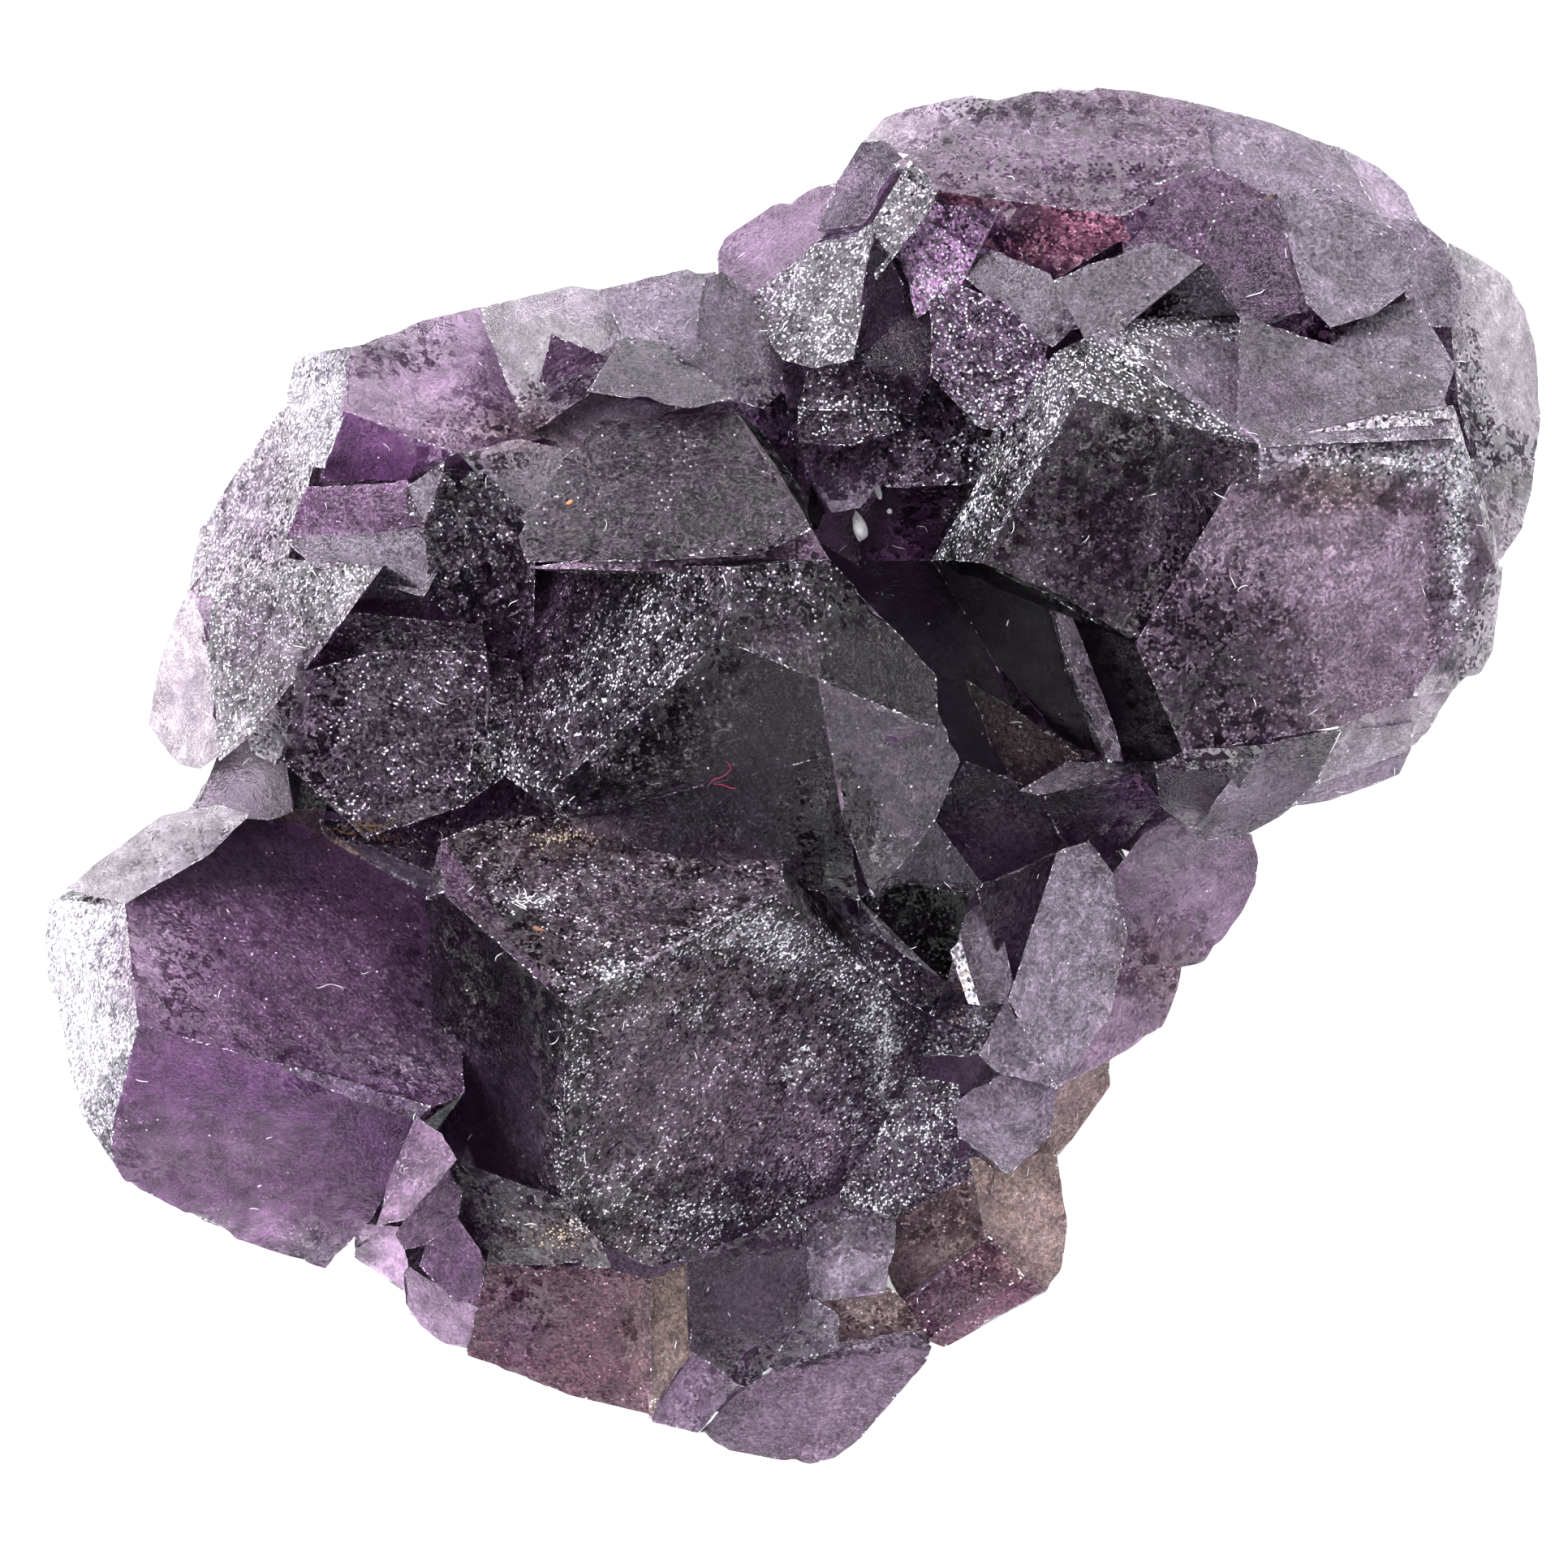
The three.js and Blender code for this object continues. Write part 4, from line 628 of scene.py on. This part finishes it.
    # convex edges are whitened, partly for wear and partly as a painted highlight of edges catching the light
    wear_and_edge_glint = w.fit(crest_at, 0.70, 0.98)
    dense = w.math("MAXIMUM", dense, w.math("MULTIPLY", wear_and_edge_glint, 0.8))
    lit = w.math("SUBTRACT", dense, chance.outputs[0])
    lit = w.math("MULTIPLY", w.fit(lit, 0.0, 0.06), w.fit(grains.outputs["Distance"], 0.62, 0.34))
    sparkle = w.math("MULTIPLY_ADD", w.math("POWER", chance.outputs[1], 3.0), 0.95, 0.05)
    whiter = w.math("MULTIPLY_ADD", wear_and_edge_glint, 0.9, crust_and_glint_level)
    frost_and_glint = w.math("MULTIPLY", lit, w.math("MULTIPLY", sparkle, whiter), clamp=True)
    uneven = w.fit(relief, 0.30, 1.10, 0.22, 0.90)
    deep = w.math("MULTIPLY_ADD", w.fit(grain.outputs[0], 0.30, 0.70, -0.60, 0.60), uneven, 1.0)
    deep = w.math("MULTIPLY", deep, w.math("MULTIPLY_ADD", middle.outputs[0], 0.6, 0.70))
    deep = w.math("MULTIPLY", deep, w.math("MULTIPLY_ADD", w.fit(chance.outputs[2], 0.0, 1.0, -0.95, 0.95), uneven, 1.0))
    stirred = w.node("ShaderNodeVectorMath", {"operation": "SCALE"})
    w.put(cloud_and_glow_colour, stirred.inputs[0])
    w.put(deep, stirred.inputs["Scale"])
    colour = stirred.outputs[0]
    # the flecks take the bluish white of the lamps: partly white etching, partly painted glints
    colour = w.mix(frost_and_glint, colour, (0.74, 0.77, 0.82, 1))
    see_through = w.math("SUBTRACT", 1.0, w.math("MAXIMUM", cloud_and_glow_share, frost_and_glint), clamp=True)

    shader = w.node("ShaderNodeBsdfPrincipled")
    w.put(colour, shader.inputs["Base Color"])
    w.put(w.math("MAXIMUM", rough, w.math("MULTIPLY", frost_and_glint, 0.35)), shader.inputs["Roughness"])
    w.put(see_through, shader.inputs["Transmission Weight"])
    w.put(bump.outputs[0], shader.inputs["Normal"])
    shader.inputs["IOR"].default_value = 1.434
    shader.inputs["Specular IOR Level"].default_value = 0.7
    depth = w.node("ShaderNodeVolumeAbsorption")
    depth.inputs["Color"].default_value = (0.32, 0.20, 0.34, 1)
    depth.inputs["Density"].default_value = 360.0
    out = w.node("ShaderNodeOutputMaterial")
    w.tree.links.new(shader.outputs[0], out.inputs["Surface"])
    w.tree.links.new(depth.outputs[0], out.inputs["Volume"])
    return m


crystal = fluorite()
body.materials.append(crystal)
node.data.materials.clear()
node.data.materials.append(crystal)
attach(cluster, "root")
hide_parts("fluorite_cluster")

# ---- dust: threads and grains lying on the crystals ------------------------------
top = BVHTree.FromPolygons(moved.tolist(), new_tris.tolist())


def drop(x, y):
    """Where a speck falling at (x, y) lands, and the slope there."""
    at, n, _, _ = top.ray_cast(Vector((x, y, 60.0)), Vector((0, 0, -1)))
    return (np.array(at), np.array(n)) if at is not None else (None, None)


def under(u, v):
    """Middle x and y of the crystal skin seen at sheet place (u, v)."""
    d = seen(u, v, 0) - EYE
    at, _, _, _ = top.ray_cast(Vector(EYE), Vector(d).normalized())
    return (at[0], at[1]) if at is not None else (None, None)


class Litter:
    """Small loose pieces gathered in one mesh, with a tint for each."""

    def __init__(self):
        self.points, self.faces, self.tints = [], [], []

    def thread(self, x, y, length, heading, width, tint, curl=0.5):
        path, steps = [], max(4, int(length / 0.16))
        for _ in range(steps + 1):
            at, n = drop(x, y)
            if at is None or n[2] < 0.25 or (path and abs(at[2] - path[-1][2]) > 0.35):
                break
            path.append(at + [0, 0, width * 0.8])
            heading += rng.normal(0, curl)
            x += math.cos(heading) * length / steps
            y += math.sin(heading) * length / steps
        if len(path) < 4:
            return
        path = np.array(path)
        path[1:-1] = path[1:-1] * 0.5 + (path[:-2] + path[2:]) * 0.25
        path[:, 2] += np.sin(np.linspace(0, math.pi, len(path))) * rng.uniform(0, 0.12) * length ** 0.5
        base = len(self.points)
        for i, at in enumerate(path):
            way = path[min(i + 1, len(path) - 1)] - path[max(i - 1, 0)]
            way /= max(np.linalg.norm(way), 1e-9)
            out = np.cross(way, [0, 0, 1.0])
            out /= max(np.linalg.norm(out), 1e-9)
            up = np.cross(out, way)
            r = width * (0.35 if i in (0, len(path) - 1) else 1.0)
            for a in (0.5, 2.6, 4.7):
                self.points.append(at + out * r * math.cos(a) + up * r * math.sin(a))
        for i in range(len(path) - 1):
            for k in range(3):
                a, b = base + 3 * i + k, base + 3 * i + (k + 1) % 3
                self.faces += [(a, b, b + 3), (a, b + 3, a + 3)]
        self.faces += [(base + 2, base + 1, base), (len(self.points) - 3, len(self.points) - 2, len(self.points) - 1)]
        self.tints += [tint] * (len(self.points) - base)

    def grain(self, x, y, r, tint, stretch=(1, 1, 0.7), turned=0.0, rings=1):
        at, n = drop(x, y)
        if at is None or n[2] < 0.15:
            return
        import bmesh
        ball = bmesh.new()
        bmesh.ops.create_icosphere(ball, subdivisions=rings, radius=1.0)
        base = len(self.points)
        co = np.array([v.co[:] for v in ball.verts])
        co = co * (1 + 0.42 * fbm(co * 1.4 + rng.uniform(0, 50, 3), 2, 9))[:, None] * r * np.array(stretch)
        c, d = math.cos(turned), math.sin(turned)
        co = np.stack([co[:, 0] * c - co[:, 1] * d, co[:, 0] * d + co[:, 1] * c, co[:, 2]], axis=1)
        self.points += list(co + at + [0, 0, r * stretch[2] * 0.35])
        self.faces += [tuple(base + v.index for v in face.verts) for face in ball.faces]
        self.tints += [tint] * len(co)
        ball.free()

    def done(self, name, material):
        data = bpy.data.meshes.new(name)
        data.from_pydata((np.array(self.points) / 1000).tolist(), [], self.faces)
        data.polygons.foreach_set("use_smooth", [True] * len(self.faces))
        tint = data.attributes.new("tint", "FLOAT_COLOR", "POINT")
        tint.data.foreach_set("color", np.concatenate([np.array(self.tints), np.ones((len(self.tints), 1))], axis=1).astype(np.float32).reshape(-1))
        data.materials.append(material)
        o = bpy.data.objects.new(name, data)
        bpy.context.scene.collection.objects.link(o)
        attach(o, "root")
        return o


def loose(name, rough):
    m = bpy.data.materials.new(name)
    m.use_nodes = True
    w = Wires(m.node_tree)
    tint = w.node("ShaderNodeAttribute", {"attribute_name": "tint"}).outputs["Color"]
    where = w.node("ShaderNodeTexCoord").outputs["Object"]
    flecks = w.node("ShaderNodeTexNoise", Vector=where, Scale=9000.0, Detail=2.0)
    shade = w.node("ShaderNodeVectorMath", {"operation": "SCALE"})
    w.put(tint, shade.inputs[0])
    w.put(w.fit(flecks.outputs[0], 0.3, 0.7, 0.65, 1.15), shade.inputs["Scale"])
    bump = w.node("ShaderNodeBump", Strength=0.6, Distance=0.00004, Height=flecks.outputs[0])
    shader = w.node("ShaderNodeBsdfPrincipled", Base_Color=shade.outputs[0], Roughness=rough, Normal=bump.outputs[0])
    # the loose pieces glow faintly in their own colour: painted light, standing in for light passing through the pale
    # grains
    w.put(shade.outputs[0], shader.inputs["Emission Color"])
    shader.inputs["Emission Strength"].default_value = 0.2
    w.tree.links.new(shader.outputs[0], w.node("ShaderNodeOutputMaterial").inputs["Surface"])
    return m


WHITE, CREAM, UMBER, ROSE, RUST = (.78, .78, .82), (.40, .33, .26), (.09, .045, .02), (.50, .05, .13), (.50, .20, .09)
lint, grit = Litter(), Litter()
for _ in range(140):
    x, y = rng.uniform(-34, 34), rng.uniform(-32, 32)
    long_one = rng.uniform() < 0.06
    lint.thread(x, y, rng.uniform(1.0, 1.9) if long_one else rng.uniform(0.25, 0.8), rng.uniform(0, 6.3), rng.uniform(0.014, 0.024), WHITE, 0.45)
for _ in range(330):
    grit.grain(rng.uniform(-34, 34), rng.uniform(-32, 32), rng.uniform(0.025, 0.06), WHITE if rng.uniform() < 0.8 else CREAM, (1, rng.uniform(0.6, 1), 0.8), rng.uniform(0, 3))
# nests of fibres: middle, spread, how many, length, heading, tint
for u, v, ru, rv, many, length, heading, tint in [
    (648, 1110, 24, 6, 12, 0.7, 0.5, WHITE), (430, 1016, 34, 10, 16, 1.5, -0.4, UMBER), (878, 966, 6, 2, 3, 1.5, 0.2, ROSE), (400, 1030, 20, 8, 6, 1.0, 0.3, UMBER),
]:
    for _ in range(many):
        x, y = under(u + rng.uniform(-ru, ru), v + rng.uniform(-rv, rv))
        if x is not None:
            lint.thread(x, y, length * rng.uniform(0.6, 1.2), heading + rng.normal(0, 0.5), rng.uniform(0.015, 0.026), tint, 0.35)
# crumbs in patches: middle, spread, how many, radius, tint
for u, v, ru, rv, many, r, tint in [
    (694, 1030, 34, 10, 80, 0.060, CREAM), (692, 1522, 30, 14, 80, 0.055, CREAM), (1060, 470, 60, 40, 16, 0.05, WHITE), (648, 1112, 22, 6, 26, 0.05, WHITE),
    (1180, 1210, 14, 40, 30, 0.07, CREAM), (470, 1030, 40, 10, 20, 0.07, UMBER),
]:
    for _ in range(many):
        x, y = under(u + rng.normal(0, ru * 0.6), v + rng.normal(0, rv * 0.6))
        if x is not None:
            grit.grain(x, y, r * rng.uniform(0.5, 1.5), tint, (1, rng.uniform(0.6, 1), 0.7), rng.uniform(0, 3))
# single larger grains: place, radius, stretch, turn, tint
for u, v, r, stretch, turned, tint in [
    (1059, 650, 0.56, (0.6, 1.3, 1.0), 0.25, (.98, .98, 1.0)), (1082, 606, 0.24, (0.6, 1.6, 1.0), 0.3, (.98, .98, 1.0)), (1096, 630, 0.14, (1, 1, 1), 0, WHITE),
    (664, 1145, 0.20, (1.6, 0.6, 0.4), -0.4, (.20, .09, .05)), (702, 619, 0.15, (1.2, 0.7, 0.5), 0.5, RUST), (1536, 1600, 0.10, (1, 1, 1), 0, WHITE),
]:
    x, y = under(u, v)
    if x is not None:
        grit.grain(x, y, r, tint, stretch, turned, 3 if r > 0.3 else 2)
lint.done("lint", loose("lint_fibre", 0.8))
grit.done("grit", loose("pale_grit", 0.6))
print("litter", len(lint.faces), len(grit.faces))

# ---- table, light and camera ---------------------------------------------------
table = bpy.data.meshes.new("table_top")
table.from_pydata([(-1.2, -1.2, -0.00004), (1.2, -1.2, -0.00004), (1.2, 1.2, -0.00004), (-1.2, 1.2, -0.00004)], [], [(0, 1, 2, 3)])
floor = bpy.data.objects.new("table_top", table)
bpy.context.scene.collection.objects.link(floor)
paint = bpy.data.materials.new("table_white")
paint.use_nodes = True
w = Wires(paint.node_tree)
mottle = w.node("ShaderNodeTexNoise", Scale=900.0, Detail=3.0)
white = w.node("ShaderNodeBsdfPrincipled", Base_Color=w.mix(mottle.outputs[0], (0.90, 0.90, 0.90, 1), (0.93, 0.93, 0.93, 1)), Roughness=0.85)
white.inputs["Emission Color"].default_value = (1.0, 0.99, 1.0, 1)
white.inputs["Emission Strength"].default_value = 0.55
w.tree.links.new(white.outputs[0], w.node("ShaderNodeOutputMaterial").inputs["Surface"])
table.materials.append(paint)

world = bpy.data.worlds.new("studio")
bpy.context.scene.world = world
world.use_nodes = True
w = Wires(world.node_tree)
facing = w.node("ShaderNodeTexCoord").outputs["Generated"]
toward = w.node("ShaderNodeSeparateXYZ", Vector=facing)
side = w.node("ShaderNodeVectorMath", {"operation": "DOT_PRODUCT"})
w.put(facing, side.inputs[0])
side.inputs[1].default_value = (-0.72, 0.66, 0.22)
around = w.fit(side.outputs["Value"], -1.0, 1.0, 0.65, 1.85)
height = w.ramp(toward.outputs[2], [(0.0, (1.0, 1.0, 1.0)), (0.36, (0.90, 0.90, 0.93)), (0.66, (0.22, 0.22, 0.24)), (1.0, (0.05, 0.05, 0.055))])
shade = w.node("ShaderNodeVectorMath", {"operation": "SCALE"})
w.put(height, shade.inputs[0])
w.put(around, shade.inputs["Scale"])
back = w.node("ShaderNodeBackground", Color=shade.outputs[0], Strength=1.0)
w.tree.links.new(back.outputs[0], w.node("ShaderNodeOutputWorld").inputs["Surface"])


def softbox(name, at, to, size, power, colour=(1, 1, 1)):
    lamp = bpy.data.lights.new(name, "AREA")
    lamp.shape = "RECTANGLE"
    lamp.size, lamp.size_y = size
    lamp.energy = power
    lamp.color = colour
    o = bpy.data.objects.new(name, lamp)
    o.location = at
    o.rotation_euler = (Vector(to) - Vector(at)).to_track_quat("-Z", "Y").to_euler()
    bpy.context.scene.collection.objects.link(o)


softbox("light_left", (-0.30, 0.14, 0.32), (0, 0, 0.01), (0.44, 0.30), 4.4)
softbox("light_back", (0.12, 0.36, 0.30), (0, 0, 0.01), (0.40, 0.22), 2.4)
softbox("light_right", (0.34, 0.02, 0.26), (0, 0, 0.01), (0.22, 0.20), 1.0)
softbox("light_front", (-0.10, -0.34, 0.30), (0, 0, 0.01), (0.22, 0.20), 0.9)

lens = bpy.data.cameras.new("camera")
lens.sensor_width = 36.0
lens.lens = 36.0 * HEIGHT / (2 * CENTRE * UNIT)
lens.clip_start, lens.clip_end = 0.02, 20.0
camera = bpy.data.objects.new("camera", lens)
camera.location = EYE / 1000
bpy.context.scene.collection.objects.link(camera)
bpy.context.scene.camera = camera
bpy.context.scene.view_settings.view_transform = "Standard"
bpy.context.scene.view_settings.gamma = 0.90
bpy.context.scene.view_settings.exposure = 0.05
bpy.context.scene.cycles.max_bounces = 4
bpy.context.scene.cycles.adaptive_threshold = 0.1
bpy.context.scene.cycles.filter_width = 1.1
bpy.context.scene.cycles.transmission_bounces = 4
bpy.context.scene.cycles.diffuse_bounces = 1
bpy.context.scene.cycles.glossy_bounces = 2
bpy.context.scene.cycles.caustics_refractive = False
bpy.context.scene.cycles.caustics_reflective = False
